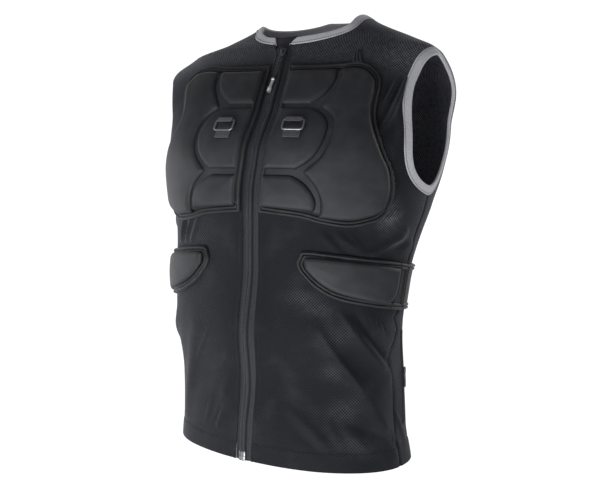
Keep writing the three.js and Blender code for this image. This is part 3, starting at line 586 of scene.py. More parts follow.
# folds of the cloth: girth and height at each end, rise of the ridge or depth of the valley, and half width
foldTaper = (0.15, 0.7)   # where each fold's sine starts and how much of it is used
foldRows = [
    (92, -428, 160, -520, 5, 13), (135, -424, 190, -490, 4, 12), (165, -500, 205, -585, 4, 13),
    (60, -470, 105, -585, 3, 15), (100, -311, 138, -322, 2, 7), (176, -302, 232, -322, 3, 9),
    (-30, -500, -45, -560, 3, 10), (-160, -432, -200, -475, 5, 12), (-90, -440, -130, -560, 4, 15),
    (-184, -296, -232, -322, 5, 9), (262, -430, 288, -500, 5, 11), (300, -440, 370, -560, 5, 16),
    (-280, -440, -350, -550, 5, 16), (290, -312, 380, -282, 4, 14), (-300, -282, -390, -312, 4, 14),
    # pulled folds between the left armhole and the chest pad
    (155, -98, 150, -116, 2.4, 2.6), (169, -104, 146, -149, 4.4, 3.4), (180, -106, 150, -180, 5.0, 3.2),
    (162, -111, 147, -141, -3.0, 2.8), (175, -106, 146, -168, -4.2, 2.8), (160, -151, 169, -200, 3.0, 9),
    (157, -186, 174, -211, 1.8, 4),
    # creases between the chest pads and the belt
    (96, -307, 117, -331, 2.8, 3.4), (108, -309, 126, -328, -2.4, 2.8), (117, -308, 145, -331, 2.6, 4.0),
    (130, -306, 148, -327, 1.8, 3.0), (146, -331, 165, -331, 2.4, 4), (162, -329, 210, -299, 4.6, 4.6),
    (169, -289, 196, -276, 3.6, 5), (186, -328, 214, -311, -2.8, 5),
    (-127, -292, -138, -326, 3.0, 3), (-107, -294, -121, -324, 2.8, 3), (-90, -293, -107, -325, 2.2, 3),
    (-118, -293, -127, -324, -2.2, 2.4),
    # long folds falling from the belt to the left side of the hem
    (99, -429, 124, -468, 3.4, 3.4), (124, -468, 152, -507, 3.6, 3.8), (152, -507, 190, -564, 4.6, 8),
    (122, -406, 154, -447, 3.4, 4.5), (151, -443, 180, -478, 3.2, 5), (141, -407, 188, -474, -4.2, 5),
    (172, -409, 175, -424, -2.2, 2.2), (178, -411, 189, -436, -2.4, 2.4), (163, -410, 170, -429, 1.8, 3),
    (63, -532, 93, -556, 3.6, 7), (90, -554, 111, -574, 3.2, 7), (73, -558, 107, -579, -2.2, 6),
    (130, -550, 172, -584, 3.8, 7), (151, -549, 210, -573, -3.4, 7), (113, -547, 129, -569, 2.4, 5),
    (209, -540, 240, -577, 2.4, 3), (199, -560, 220, -580, 2.0, 3), (38, -390, 62, -540, -5, 24),
    # small creases on the right side
    (-63, -440, -89, -478, 1.2, 3), (-27, -463, -41, -483, 1.0, 3), (-31, -535, -45, -565, 1.6, 3.0),
    (-39, -536, -52, -567, -1.2, 3), (-59, -534, -71, -564, 0.9, 4),
]


def foldLift(s, z):
    total = np.zeros(np.broadcast(s, z).shape)
    for s0, z0, s1, z1, rise, wide in foldRows:
        ds, dz = s1 - s0, z1 - z0
        t = np.clip(((s - s0) * ds + (z - z0) * dz) / (ds * ds + dz * dz), 0, 1)
        away = np.hypot(s - s0 - t * ds, z - z0 - t * dz)
        taper = np.sin(math.pi * (foldTaper[0] + foldTaper[1] * t))
        total += rise * taper * np.exp(-((away / wide) ** 2))
    return total


def armShare(z, face):
    t = (armhole["top"] - z) / (armhole["top"] - armhole["bottom"])
    u = np.clip(2 * t - 1, -1, 1)
    reach = armhole[face] * np.sqrt(1 - np.abs(u) ** armhole["power"]) * (1 + armhole[face + "Lean"] * u)
    depth, power = (np.interp(z, form["z"], form[face + name]) for name in ("Depth", "Power"))
    turn = np.arccos(np.clip(reach / depth, 0, 1) ** (power / 2))
    row = (z - form["z"][0]) / bodyForm["zStep"]
    k = np.clip(row.astype(int), 0, len(form["z"]) - 2)
    column = turn / (math.pi / 2) * (len(form["t"]) - 1)
    c = np.clip(column.astype(int), 0, len(form["t"]) - 2)
    run = form[face + "Run"]
    low = mix(run[k, c], run[k, c + 1], column - c)
    high = mix(run[k + 1, c], run[k + 1, c + 1], column - c)
    return np.where((t <= 0) | (t >= 1), 1, mix(low, high, row - k))


def neckZ(share, face, corner=0.0):
    if face == "front":
        rise = smooth(share)
        start, over = clothPanel["neckCorner"]
        rise = rise + corner * smooth((share - start) / over) * (1 - rise)
        return mix(clothPanel["neckFront"], clothPanel["neckPoint"], rise)
    fall = np.clip(1 - share, 0, 1) ** clothPanel["neckFall"]
    return mix(clothPanel["neckPoint"], clothPanel["neckBack"], fall)


def armZ(t):
    return mix(armhole["bottom"], armhole["top"], (1 - np.cos(math.pi * t)) / 2)


# the left side seam wanders forwards below the belt: height and distance in front of the side line
seamWave = [(-603, 8), (-535, 12.5), (-510, 13), (-491, 17), (-477, 22.5), (-466, 23.5), (-456, 17),
            (-444, 7.5), (-432, 0.5), (-415, 13), (-407, 6), (-398, 0)]


def seamForward(z):
    return np.interp(z, *np.array(seamWave).T)


def seamShare(z, face, forward=0.0):
    toFront = forward if face == "front" else -forward
    return 1 - (clothPanel["seamGap"] + toFront) / girth(z, face)


def panelHalf(u, v, face, startShare, waver=0.0, corner=0.0):
    # share of the half girth and height over one half of a panel, as in the part's source
    hem = bodyForm["hem"]
    seamPart = 1 - clothPanel["armRows"] / clothPanel[face + "Rows"]
    neckPart = clothPanel[face + "Neck"] / clothPanel[face + "Columns"]
    topStart = startShare(clothPanel["neckFront"]) if face == "front" else 0.0
    topLeftZ = float(neckZ(np.array(topStart), face, corner))

    def right(t):
        z = np.where(t <= seamPart, mix(hem, armhole["bottom"], t / seamPart),
                     armZ((t - seamPart) / (1 - seamPart)))
        return np.where(z < armhole["bottom"], seamShare(z, face, waver * seamForward(z)),
                        np.minimum(armShare(z, face), seamShare(z, face))), z

    def top(t):
        z = mix(clothPanel["neckPoint"], clothPanel["tip"], (t - neckPart) / (1 - neckPart))
        share = mix(topStart, seamShare(clothPanel["neckPoint"], face), t / neckPart)
        height = neckZ(share, face, corner)
        onNeck = t <= neckPart
        return np.where(onNeck, share, seamShare(z, face)), np.where(onNeck, height, z)

    leftZ = mix(hem, topLeftZ, v)
    rightShare, rightZ = right(v)
    topShare, topZ = top(u)
    endShare, endZ = top(np.ones(1))
    rows = mix(hem, topZ, v)
    columns = mix(leftZ, rightZ, u)
    corners = mix(hem, mix(topLeftZ, endZ[0], u), v)
    z = rows + columns - corners
    onTop = (topShare - topStart) / (endShare[0] - topStart)
    part = mix(u, onTop, v ** clothPanel["topPull"])
    share = mix(startShare(leftZ), rightShare, part)
    return share, z


def zipShift(z):
    # the top of the zip swings to the right of the centre line
    return -clothPanel["zipSwing"] * smooth((z - clothPanel["swingFrom"]) / clothPanel["swingOver"])


def hill(away, half):
    return np.exp(-((away / half) ** 2))


def clothLift(s, z, edge):
    # folds, the hem's sewn line, a light unevenness and the dip along the seam
    below = bodyForm["hem"] + clothPanel["hemTall"] - z
    hem = clothPanel["hemRise"] * smooth(below / clothPanel["hemRiseOver"])
    hem = hem - clothPanel["hemGroove"] * hill(below, clothPanel["hemGrooveHalf"])
    ripples = 1
    for a, b, k in ((s, z, 0), (z, s, 1)):
        shift = clothPanel["rippleShift"][k] * np.sin(b / clothPanel["rippleBend"][k])
        ripples = ripples * np.sin(a / clothPanel["ripple"][k] + shift)
    dip = clothPanel["seamDip"] * hill(edge, clothPanel["seamDipHalf"])
    return foldLift(s, z) + hem + clothPanel["uneven"] * ripples - dip


# painted sheen and highlights that lighten the knit: over the shoulders, where it stands partly for the
# lighter knit pulled tight, at the armhole tips, in spots along the folds, and a painted light on the inside
paintedSheenForm = {"shoulder": 0.22, "from": -125, "over": 60, "tip": 0.3, "tipS": 190, "tipOver": 60,
               "inside": 0.95,
               # girth and height, half girth and half height, share
               "spots": [(180, -280, 16, 20, 0.55), (76, -390, 24, 9, 0.2), (96, -405, 20, 8, 0.2),
                         (124, -432, 20, 14, 0.12), (112, -482, 12, 10, 0.16), (132, -530, 18, 14, 0.18),
                         (196, -470, 16, 60, 0.14), (150, -570, 40, 14, 0.1), (-75, -440, 40, 120, 0.07),
                         (-100, -330, 40, 40, 0.08)]}


def paintedSheenShare(s, z):
    rise = smooth((z - paintedSheenForm["from"]) / paintedSheenForm["over"])
    tip = smooth((np.abs(s) - paintedSheenForm["tipS"]) / paintedSheenForm["tipOver"] + 1)
    total = (paintedSheenForm["shoulder"] + paintedSheenForm["tip"] * tip) * rise
    for spotS, spotZ, halfS, halfZ, share in paintedSheenForm["spots"]:
        total = total + share * np.exp(-((s - spotS) / halfS) ** 2 - ((z - spotZ) / halfZ) ** 2)
    return total


def knitPlaces(s, run, z):
    # the outside takes the painted sheen share, the inside a strong painted light all over
    outside = np.stack([run, z, paintedSheenShare(s, z)], -1)
    return outside, np.stack([run, z, np.full_like(z, paintedSheenForm["inside"])], -1)


def addFrontCloth(side, sign):
    u, v = np.meshgrid(np.linspace(0, 1, clothPanel["frontCells"][0] + 1),
                       np.linspace(0, 1, clothPanel["frontCells"][1] + 1))
    opening = clothPanel["zipOpening"]
    corner = 0.0 if sign > 0 else clothPanel["cornerRise"]

    def zipEdge(at):
        return (opening + sign * zipShift(at)) / girth(at, "front")

    share, z = panelHalf(u, v, "front", zipEdge, sign > 0, corner)
    run = share * girth(z, "front")
    s = sign * run
    seam = girth(z, "front") - (sign > 0) * seamForward(z)
    edge = np.where(z < armhole["bottom"], seam - run, clothPanel["noSeam"])
    lift = clothLift(s, z, edge)
    fromZip = run - opening - sign * zipShift(z)
    for rise, place, half in clothPanel["zipRidges"]:
        lift = lift + rise * hill(fromZip - place, half)
    outer = skin(s, z, clothPanel["top"] + lift)
    inner = skin(s, z, clothPanel["top"] - clothPanel["thick"] + lift)
    return addShell("front_cloth_" + side, outer, inner, "mesh_cloth", *knitPlaces(s, run, z),
                    stands=["front_panel_" + side])


def addBackCloth():
    nu, nv = clothPanel["backCells"]
    u, v = np.meshgrid(np.linspace(0, 1, nu + 1), np.linspace(0, 1, nv + 1))
    across = 1 - 2 * u
    share, z = panelHalf(np.abs(across), v, "back", np.zeros_like, across > 0)
    fromSeam = girth(z, "back") * (1 - np.sign(across) * share)
    run = girth(z, "front") + fromSeam
    half = girth(z, "front") + girth(z, "back")
    s = np.where(run > half, run - 2 * half, run)
    edge = np.minimum(fromSeam + seamForward(z), 2 * girth(z, "back") - fromSeam)
    edge = np.where(z < armhole["bottom"], edge, clothPanel["noSeam"])
    lift = clothLift(s, z, edge)
    outer = skin(run, z, clothPanel["top"] + lift)
    inner = skin(run, z, clothPanel["top"] - clothPanel["thick"] + lift)
    return addShell("back_cloth", outer, inner, "mesh_cloth", *knitPlaces(s, fromSeam, z),
                    stands=["back_panel"])


frontCloths = {side: addFrontCloth(side, sign) for side, sign in sides}
backCloth = addBackCloth()
print("cloth panels made")

# foam pads: outlines on the left side as girth and height, four sides each
padLayers = {
    "flangeLow": 3.0, "flangeTop": 5.3, "blockLow": 5.2, "chestTop": 14.5, "beltTop": 12.0, "stripTop": 5.1,
    "roll": 6.5, "rimShare": 0.45, "crown": 1.0, "crownOver": 22, "crownDrop": 0.5,
    "piping": ((2.1, 1.9), (6.2, 1.9)), "pipingRise": 1.9, "rimDrop": 0.9, "rimDropHalf": 0.7,
    "floorRise": 4.6, "floorFrom": 8.5, "floorOver": 5, "zipSide": (2.0, 3.0),
    # painted shadow along the groove lines: share, half width, and their places inside the flange's rim
    "groove": 0.85, "grooveWide": 1.5, "grooveLines": (4.2, 8.6),
    # how much the meshes crowd towards the rims of blocks, flanges and the back strip
    "blockPull": 0.75, "flangePull": 0.9, "stripPull": 0.8,
    "fill": {"block": 0.9, "flange": 0.4},
}
padOutlines = {
    "chest_base": {
        "left": [(14, -284), (14, -90)],
        "top": [(14, -90), (54, -91), (88, -89), (110, -86), (128, -90)],
        "right": [(163, -289), (176, -277), (184, -254), (182, -237), (174, -220), (161, -200), (144, -171),
                  (140, -150), (145, -116), (140, -101), (128, -90)],
        "bottom": [(14, -284), (70, -289), (97, -295), (131, -298), (163, -289)],
        "cells": (110, 130)},
    "collar_block": {
        "left": [(19, -149), (19, -102)],
        "top": [(19, -102), (55, -102), (84, -101)],
        "right": [(57, -149), (65, -144), (75, -135), (82, -123), (85, -112), (84, -101)],
        "bottom": [(19, -149), (38, -149), (57, -149)],
        "cells": (56, 44)},
    "loop_block": {
        "left": [(19, -230), (19, -155)],
        "top": [(19, -155), (40, -155), (61, -155)],
        "right": [(61, -230), (72, -223), (82, -212), (88, -199), (89, -186), (85, -173), (75, -162),
                  (61, -155)],
        "bottom": [(19, -230), (40, -230), (61, -230)],
        "cells": (56, 60)},
    "rib_block": {
        "left": [(19, -276), (19, -237)],
        "top": [(19, -237), (38, -237), (57, -237)],
        "right": [(87, -280), (90, -275), (90, -266), (84, -255), (72, -244), (57, -237)],
        "bottom": [(19, -276), (54, -278), (87, -280)],
        "cells": (56, 40)},
    "pec_block": {
        "left": [(94, -287), (96, -276), (95, -264), (89, -251), (79, -240), (72, -233), (78, -225),
                 (88, -214), (94, -200), (94, -185), (90, -170), (80, -159), (72, -152), (80, -139),
                 (87, -126), (90, -113), (89, -101)],
        "top": [(89, -101), (108, -98), (124, -101)],
        "right": [(158, -281), (169, -272), (175, -253), (173, -237), (167, -221), (154, -201), (138, -174),
                  (133, -152), (137, -124), (135, -113), (124, -101)],
        "bottom": [(94, -287), (130, -289), (158, -281)],
        "cells": (60, 150)},
    "belt_block": {
        "left": [(77, -353), (76, -342)],
        "top": [(76, -342), (83, -338), (131, -341), (196, -349)],
        "right": [(178, -396), (188, -388), (193, -375), (196, -349)],
        "bottom": [(77, -353), (96, -371), (122, -384), (178, -396)],
        "cells": (90, 44)},
}


def outlineOf(name):
    return {side: curveThrough(padOutlines[name][side]) for side in ("left", "right", "bottom", "top")}


def padGrid(outline, cells, pull):
    u, v = np.meshgrid(spreadEnds(cells[0], pull), spreadEnds(cells[1], pull))
    at = coons(outline, u, v)
    return at[..., 0], at[..., 1], rimDistance(outline, at)


def floorLift(outline, s, z):
    # the floor between the chest blocks stands higher than the rim
    rim = {side: curve for side, curve in outline.items() if side != "left"}
    away = rimDistance(rim, np.stack([s, z], -1))
    start, over = padLayers["zipSide"]
    besideZip = smooth((s - outline["left"](np.zeros(1))[0, 0] - start) / over)
    rise = padLayers["floorRise"] * smooth((away - padLayers["floorFrom"]) / padLayers["floorOver"])
    return rise * besideZip


# share of the painted shadow along the grooves
def grooveShadowShare(edge, lines):
    return padLayers["groove"] * sum(hill(edge - line, padLayers["grooveWide"]) for line in lines)


def addBlock(name, side, sign, top):
    s, z, edge = padGrid(outlineOf(name), padOutlines[name]["cells"], padLayers["blockPull"])
    t = 1 - np.clip(edge / padLayers["roll"], 0, 1)
    height = mix(padLayers["rimShare"], 1, np.sqrt(1 - t * t))
    low = padLayers["blockLow"]
    crown = smooth(edge / padLayers["crownOver"]) - padLayers["crownDrop"]
    lift = mix(low, top, height) + padLayers["crown"] * crown
    outer = skin(sign * s, z, lift)
    inner = skin(sign * s, z, low)
    weave = np.stack([s, z, grooveShadowShare(edge, [0])], -1)
    return addShell(f"{name}_foam_{side}", outer, inner, "pad_cloth", weave, stands=[f"{name}_{side}"])


def roundRidge(away, half):
    return np.sqrt(np.clip(1 - (away / half) ** 2, 0, 1))


def pipedLift(edge, low):
    lift = np.full(edge.shape, low)
    for centre, half in padLayers["piping"]:
        lift = lift + padLayers["pipingRise"] * roundRidge(edge - centre, half)
    return lift - padLayers["rimDrop"] * hill(edge, padLayers["rimDropHalf"])


def addFlange(name, side, sign, outline, cells, stands):
    s, z, edge = padGrid(outline, cells, padLayers["flangePull"])
    lift = pipedLift(edge, padLayers["flangeTop"])
    if name == "chest_flange":
        lift = lift + floorLift(outline, s, z)
    else:
        # a line of piping behind the foam
        gap = s - np.interp(z, *beltForm["rearPiping"])
        ridge = roundRidge(gap, padLayers["piping"][0][1])
        lift = np.maximum(lift, padLayers["flangeTop"] + padLayers["pipingRise"] * ridge)
    outer = skin(sign * s, z, lift)
    inner = skin(sign * s, z, padLayers["flangeLow"])
    weave = np.stack([s, z, grooveShadowShare(edge, padLayers["grooveLines"])], -1)
    return addShell(f"{name}_{side}", outer, inner, "pad_cloth", weave, stands=[f"{stands}_{side}"])


beltForm = {
    "left": [(71, -359), (66, -347), (70, -336)],
    "bottom": [(71, -359), (90, -377), (118, -391), (162, -399)],
    "top": [(70, -336), (78, -331), (131, -335)],
    "sideHigh": -344, "sideLow": -405, "backHigh": -342, "backLow": -407,
    "cells": (150, 60), "backCells": (180, 36),
    "rearPiping": ((-399, -390, -375, -349), (187, 193, 198, 200.5)),
}


def beltOutline():
    def seam(t):
        z = mix(beltForm["sideLow"], beltForm["sideHigh"], t)
        return np.stack([girth(z, "front") - clothPanel["seamGap"], z], -1)

    low, high = (tuple(seam(np.array(float(k)))) for k in (0, 1))
    return {"left": curveThrough(beltForm["left"]), "right": seam,
            "bottom": curveThrough([*beltForm["bottom"], low]),
            "top": curveThrough([*beltForm["top"], high])}


def addBackBelt():
    nu, nv = beltForm["backCells"]
    u, v = np.meshgrid(np.linspace(0, 1, nu + 1), spreadEnds(nv, padLayers["stripPull"]))
    across = np.abs(1 - 2 * u)
    low = mix(beltForm["backLow"], beltForm["sideLow"], across)
    high = mix(beltForm["backHigh"], beltForm["sideHigh"], across)
    z = mix(low, high, v)
    run = girth(z, "front") + clothPanel["seamGap"] + u * 2 * (girth(z, "back") - clothPanel["seamGap"])
    edge = np.minimum(z - low, high - z)
    outer = skin(run, z, pipedLift(edge, padLayers["stripTop"]))
    inner = skin(run, z, padLayers["flangeLow"])
    weave = np.stack([run, z], -1)
    return addShell("belt_back_strip", outer, inner, "pad_cloth", weave, stands=["belt_back"])


for side, sign in sides:
    addFlange("chest_flange", side, sign, outlineOf("chest_base"),
                          padOutlines["chest_base"]["cells"], "chest_base")
    for name in ("collar_block", "loop_block", "rib_block", "pec_block"):
        addBlock(name, side, sign, padLayers["chestTop"])
    addFlange("belt_flange", side, sign, beltOutline(), beltForm["cells"], "belt_base")
    addBlock("belt_block", side, sign, padLayers["beltTop"])
addBackBelt()

# bindings of the armholes and the neck
bindingForm = {
    "wide": 11.6, "over": 1.2, "thick": 3.6, "rise": 1.0, "sides": 40, "squareAcross": 0.35, "squareOut": 0.6,
    "stations": 260, "neckStations": 240, "step": 0.002, "groove": 0.5, "grooveAt": 1.4, "grooveHalf": 0.8,
    "stitchSunk": 0.3, "slant": 0.75, "slantOver": 22,
    "curl": 55, "curlFrom": -215, "curlOver": 50, "curlEnd": 0.06,
}


def squared(wave, power):
    # a sine or cosine pushed towards its ends, so that a ring of it has rounded corners
    return np.sign(wave) * np.abs(wave) ** power


def bindingSection():
    # a folded strip seen from its end: across from over the cloth to the free edge, out through its thickness
    wide, thick, over = bindingForm["wide"], bindingForm["thick"], bindingForm["over"]
    turn = np.linspace(0, 2 * math.pi, bindingForm["sides"], endpoint=False)
    across = (wide + over) / 2 * squared(np.cos(turn), bindingForm["squareAcross"]) + (wide - over) / 2
    out = thick / 2 * squared(np.sin(turn), bindingForm["squareOut"]) + bindingForm["rise"]
    crease = hill(across - bindingForm["grooveAt"], bindingForm["grooveHalf"]) * np.sign(np.sin(turn))
    return np.stack([across, out - bindingForm["groove"] * crease], -1)


def edgeRings(edge, places, closed, outward, curl=0.0):
    def at(t):
        return torso(*edge(t % 1 if closed else np.clip(t, 0, 1)))

    step = bindingForm["step"]
    along = unit(at(places + step) - at(places - step))
    out = formFrame(*edge(places))[1]
    across = outward * unit(np.cross(along, out))
    bend = np.broadcast_to(curl, places.shape)[:, None]
    across, out = np.cos(bend) * across - np.sin(bend) * out, np.cos(bend) * out + np.sin(bend) * across
    centre = at(places)
    section = bindingSection()
    rings = centre[:, None] + across[:, None] * section[None, :, :1] + out[:, None] * section[None, :, 1:]
    run = runOf(centre)
    if not closed:
        # both ends at the zip are cut on the slant
        over = bindingForm["slantOver"]
        fade = smooth(1 - run / over) - smooth(1 - (run[-1] - run) / over)
        rings = rings + bindingForm["slant"] * fade[:, None, None] * along[:, None] * section[None, :, :1]
    girthRun = np.concatenate([[0], np.hypot(*np.diff(section, axis=0).T).cumsum()])
    weave = np.stack(np.broadcast_arrays(run[:, None], girthRun[None]), -1)
    top = bindingForm["rise"] + bindingForm["thick"] / 2 - bindingForm["stitchSunk"]
    stitch = centre + across * bindingForm["grooveAt"] + out * top
    return rings, weave, (stitch, out)


def armEdge(sign):
    def edge(t):
        onFront = t < 0.5
        z = armZ(np.where(onFront, 2 * t, 2 - 2 * t))
        front = armShare(z, "front") * girth(z, "front")
        back = girth(z, "front") + (1 - armShare(z, "back")) * girth(z, "back")
        return sign * np.where(onFront, front, back), z
    return edge


def armCurl(t):
    # the front edge of the right armhole rolls inwards, out of the photograph's sight
    z = armZ(2 * t)
    rise = smooth((z - bindingForm["curlFrom"]) / bindingForm["curlOver"])
    fall = smooth((0.5 - t) / bindingForm["curlEnd"])
    return np.radians(bindingForm["curl"]) * np.where(t < 0.5, rise * fall, 0)


def neckEdge(t):
    half = np.where(t > 0.5, 2 - 2 * t, 2 * t)
    onFront = half < 0.5
    low, opening = clothPanel["neckFront"], clothPanel["zipOpening"]
    way = np.where(t > 0.5, 1, -1)
    startShare = (opening + way * zipShift(low)) / girth(low, "front")
    share = np.where(onFront, mix(startShare, 1, 2 * half), 2 - 2 * half)
    corner = np.where(t > 0.5, 0.0, clothPanel["cornerRise"])
    z = np.where(onFront, neckZ(share, "front", corner), neckZ(share, "back"))
    run = np.where(onFront, share * girth(z, "front"), girth(z, "front") + (1 - share) * girth(z, "back"))
    return np.where(t > 0.5, run, -run), z


bindings, stitchLines = {}, []
for side, sign in sides:
    places = np.linspace(0, 1, bindingForm["stations"], endpoint=False)
    rings, weave, stitch = edgeRings(armEdge(sign), places, True, sign, armCurl(places) if sign < 0 else 0.0)
    bindings[side] = addLoft("arm_edge_" + side, rings, "edge_binding", weave, closed=True,
                             stands=["arm_binding_" + side])
    stitchLines.append(stitch)
rings, weave, stitch = edgeRings(neckEdge, np.linspace(0, 1, bindingForm["neckStations"]), False, 1)
bindings["neck"] = addLoft("neck_edge", rings, "edge_binding", weave, stands=["neck_binding"])
stitchLines.append(stitch)
print("bindings made")

# front zip: a reversed coil, so each tape rolls over beside the centre line and the coil shows in the slit
zipForm = {
    "inner": 0.45, "outer": 12.6, "top": -61, "bottom": -603, "columns": 30, "rows": 300, "tent": 3.8,
    "edgeLift": 0.9, "thick": 1.2, "lowest": 0.05, "rollAt": 2.6, "rollWide": 2.0, "rollRise": 2.0,
    "creaseAt": 5.1, "creaseWide": 0.8, "creaseDeep": 0.9, "stitchAt": 8.2, "stitchFrom": -598,
    # centre, half length and rise of the places where the zip bows out or is pinched
    "bows": ((-150, 60, 1.0), (-450, 46, 2.2), (-512, 15, -1.3), (-560, 24, 1.4)),
}
# teeth: half sizes across, up and outwards, and how far each leans
coil = {"pitch": 1.7, "top": -76, "bottom": -591, "half": (1.5, 0.62, 0.6), "lean": 0.55, "rise": 0.35,
        "cells": (6, 4), "ends": 0.04}


def zipTent(z):
    tent = np.full(np.shape(z), zipForm["tent"])
    for centre, half, rise in zipForm["bows"]:
        tent = tent + rise * hill(z - centre, half)
    return tent


def zipLift(a, z):
    # the tape rises from the panel edge to the centre line and rolls over beside it
    slope = zipTent(z) * np.clip(1 - a / zipForm["outer"], 0, 1)
    roll = zipForm["rollRise"] * roundRidge(a - zipForm["rollAt"], zipForm["rollWide"])
    crease = zipForm["creaseDeep"] * hill(a - zipForm["creaseAt"], zipForm["creaseWide"])
    return zipForm["edgeLift"] + slope + roll - crease


def addZipTape(side, sign):
    a, z = np.meshgrid(np.linspace(zipForm["inner"], zipForm["outer"], zipForm["columns"] + 1),
                       np.linspace(zipForm["bottom"], zipForm["top"], zipForm["rows"] + 1))
    s = sign * a + zipShift(z)
    lift = zipLift(a, z)
    outer = skin(s, z, lift)
    inner = skin(s, z, np.maximum(lift - zipForm["thick"], zipForm["lowest"]))
    addShell("zip_band_" + side, outer, inner, "zip_tape", np.stack([a, z], -1), stands=["zip_tape_" + side])


def ellipsoid(centre, axes, around, along):
    # rings of a small rounded body; axes are three half length vectors
    rings = []
    turn = np.linspace(0, 2 * math.pi, around, endpoint=False)[:, None]
    flat = np.cos(turn) * axes[1] + np.sin(turn) * axes[2]
    for tilt in math.pi * np.linspace(coil["ends"], 1 - coil["ends"], along + 1):
        rings.append(centre - math.cos(tilt) * axes[0] + math.sin(tilt) * flat)
    return np.array(rings)


def joinRings(parts):
    points, faces, start = [], [], 0
    for rings in parts:
        count, n = rings.shape[:2]
        points.append(rings.reshape(-1, 3))
        faces.extend(loftFaces(count, n, False, start))
        start += count * n
    return np.concatenate(points), faces


def addZipTeeth():
    z = np.arange(coil["bottom"], coil["top"], coil["pitch"])
    along, out, up = formFrame(zipShift(z), z)
    centre = skin(zipShift(z), z, zipForm["edgeLift"] + zipTent(z) + coil["rise"])
    wide, tall, deep = coil["half"]
    parts = []
    for k in range(len(z)):
        lean = coil["lean"] if k % 2 else -coil["lean"]
        axes = (wide * along[k] + lean * up[k], tall * up[k], deep * out[k])
        parts.append(ellipsoid(centre[k], axes, *coil["cells"]))
    points, faces = joinRings(parts)
    addPiece("zip_coil_teeth", points, faces, "zip_plastic", stands=["zip_coil"])


def seatFrame(s, z, lift):
    # place and axes standing on the body form: along the girth, up the cloth, outwards
    along, out, up = (axis[0] for axis in formFrame(np.array([float(s)]), np.array([float(z)])))
    return skin(np.array([float(s)]), np.array([float(z)]), lift)[0], along, up, out


def placed(seat, local):
    place, along, up, out = seat
    return place + local[..., :1] * along + local[..., 1:2] * up + local[..., 2:3] * out


def roundedRing(halfX, halfY, power, count):
    turn = np.linspace(0, 2 * math.pi, count, endpoint=False)
    return np.stack([halfX * squared(np.cos(turn), power), halfY * squared(np.sin(turn), power)], -1)


def bodyOfSlices(slices, count=28, power=0.55):
    # a moulded body from slices across its length: y, half width, low and high
    rings = []
    for y, half, low, high in slices:
        ring = roundedRing(half, (high - low) / 2, power, count)
        rings.append(np.stack([ring[:, 0], np.full(count, y), ring[:, 1] + (low + high) / 2], -1))
    return np.array(rings)


sliderForm = {
    "z": -72, "lift": 4.6,
    "plate": [(6.9, 2.6, 1.4, 2.4), (6.6, 3.4, 0.6, 3.0), (5.4, 4.3, 0.1, 3.5), (2.0, 4.4, 0.0, 3.7),
              (-2.0, 3.7, 0.0, 3.7), (-5.4, 3.0, 0.1, 3.4), (-6.6, 2.5, 0.6, 2.9), (-6.9, 1.8, 1.4, 2.3)],
    "bridge": [(5.6, 0.7, 3.0, 3.6), (5.2, 1.2, 3.0, 5.2), (3.6, 1.35, 3.2, 6.3), (0.4, 1.35, 3.6, 6.5),
               (-2.6, 1.25, 3.4, 6.0), (-3.8, 1.1, 3.0, 4.8), (-4.2, 0.6, 3.0, 3.5)],
    "eyeZ": -83.5, "eyeLift": 9.2, "eyeHalf": (2.9, 2.5), "eyePower": 0.8, "eyeSteps": 40, "eyeLean": -0.12,
    "eyeWire": 0.75, "eyeSides": 10,
}


def tubeRings(line, normals, radius, sides, closed=False):
    # rings of a round wire along a line; normals are any vectors across it
    along = unit(np.roll(line, -1, 0) - np.roll(line, 1, 0) if closed else np.gradient(line, axis=0))
    across = unit(np.cross(along, normals))
    out = np.cross(across, along)
    turn = np.linspace(0, 2 * math.pi, sides, endpoint=False)[None, :, None]
    return line[:, None] + radius * (np.cos(turn) * across[:, None] + np.sin(turn) * out[:, None])


def addSlider():
    seat = seatFrame(zipShift(sliderForm["z"]), sliderForm["z"], sliderForm["lift"])
    parts = [placed(seat, bodyOfSlices(sliderForm[name])) for name in ("plate", "bridge")]
    points, faces = joinRings(parts)
    eyeSeat = seatFrame(zipShift(sliderForm["eyeZ"]), sliderForm["eyeZ"], sliderForm["eyeLift"])
    loop = roundedRing(*sliderForm["eyeHalf"], sliderForm["eyePower"], sliderForm["eyeSteps"])
    line = placed(eyeSeat, np.stack([loop[:, 0], loop[:, 1], sliderForm["eyeLean"] * loop[:, 1]], -1))
    rings = tubeRings(line, eyeSeat[3][None], sliderForm["eyeWire"], sliderForm["eyeSides"], True)
    faces = faces + loftFaces(*rings.shape[:2], True, len(points))
    points = np.concatenate([points, rings.reshape(-1, 3)])
    addPiece("zip_slider_body", points, faces, "zip_plastic", stands=["zip_slider"], crease=40)


# pull cord: one thin cord doubled, from the slider's eye to a crimped metal end
pullCord = {"start": (0.5, -82, 9.4), "middle": (-0.5, -97.5, 9.7), "end": (-2.5, -113, 9.2), "radius": 0.8,
            "spread": (0.9, 1.9, 0.95), "spreadAt": (0, 0.45, 1), "stations": 40, "sides": 12, "wide": 0.0044}
# the end's profile is distance along it and radius
pullEnd = {"gap": 0.5, "sides": 28,
           "profile": [(0, 0.6), (0, 2.5), (-0.5, 2.8), (-2.8, 2.8), (-3.2, 2.4), (-4.0, 2.3), (-14.6, 2.3),
                       (-15.2, 2.5), (-15.6, 3.1), (-21.4, 3.1), (-22, 2.7), (-22, 0.6)]}


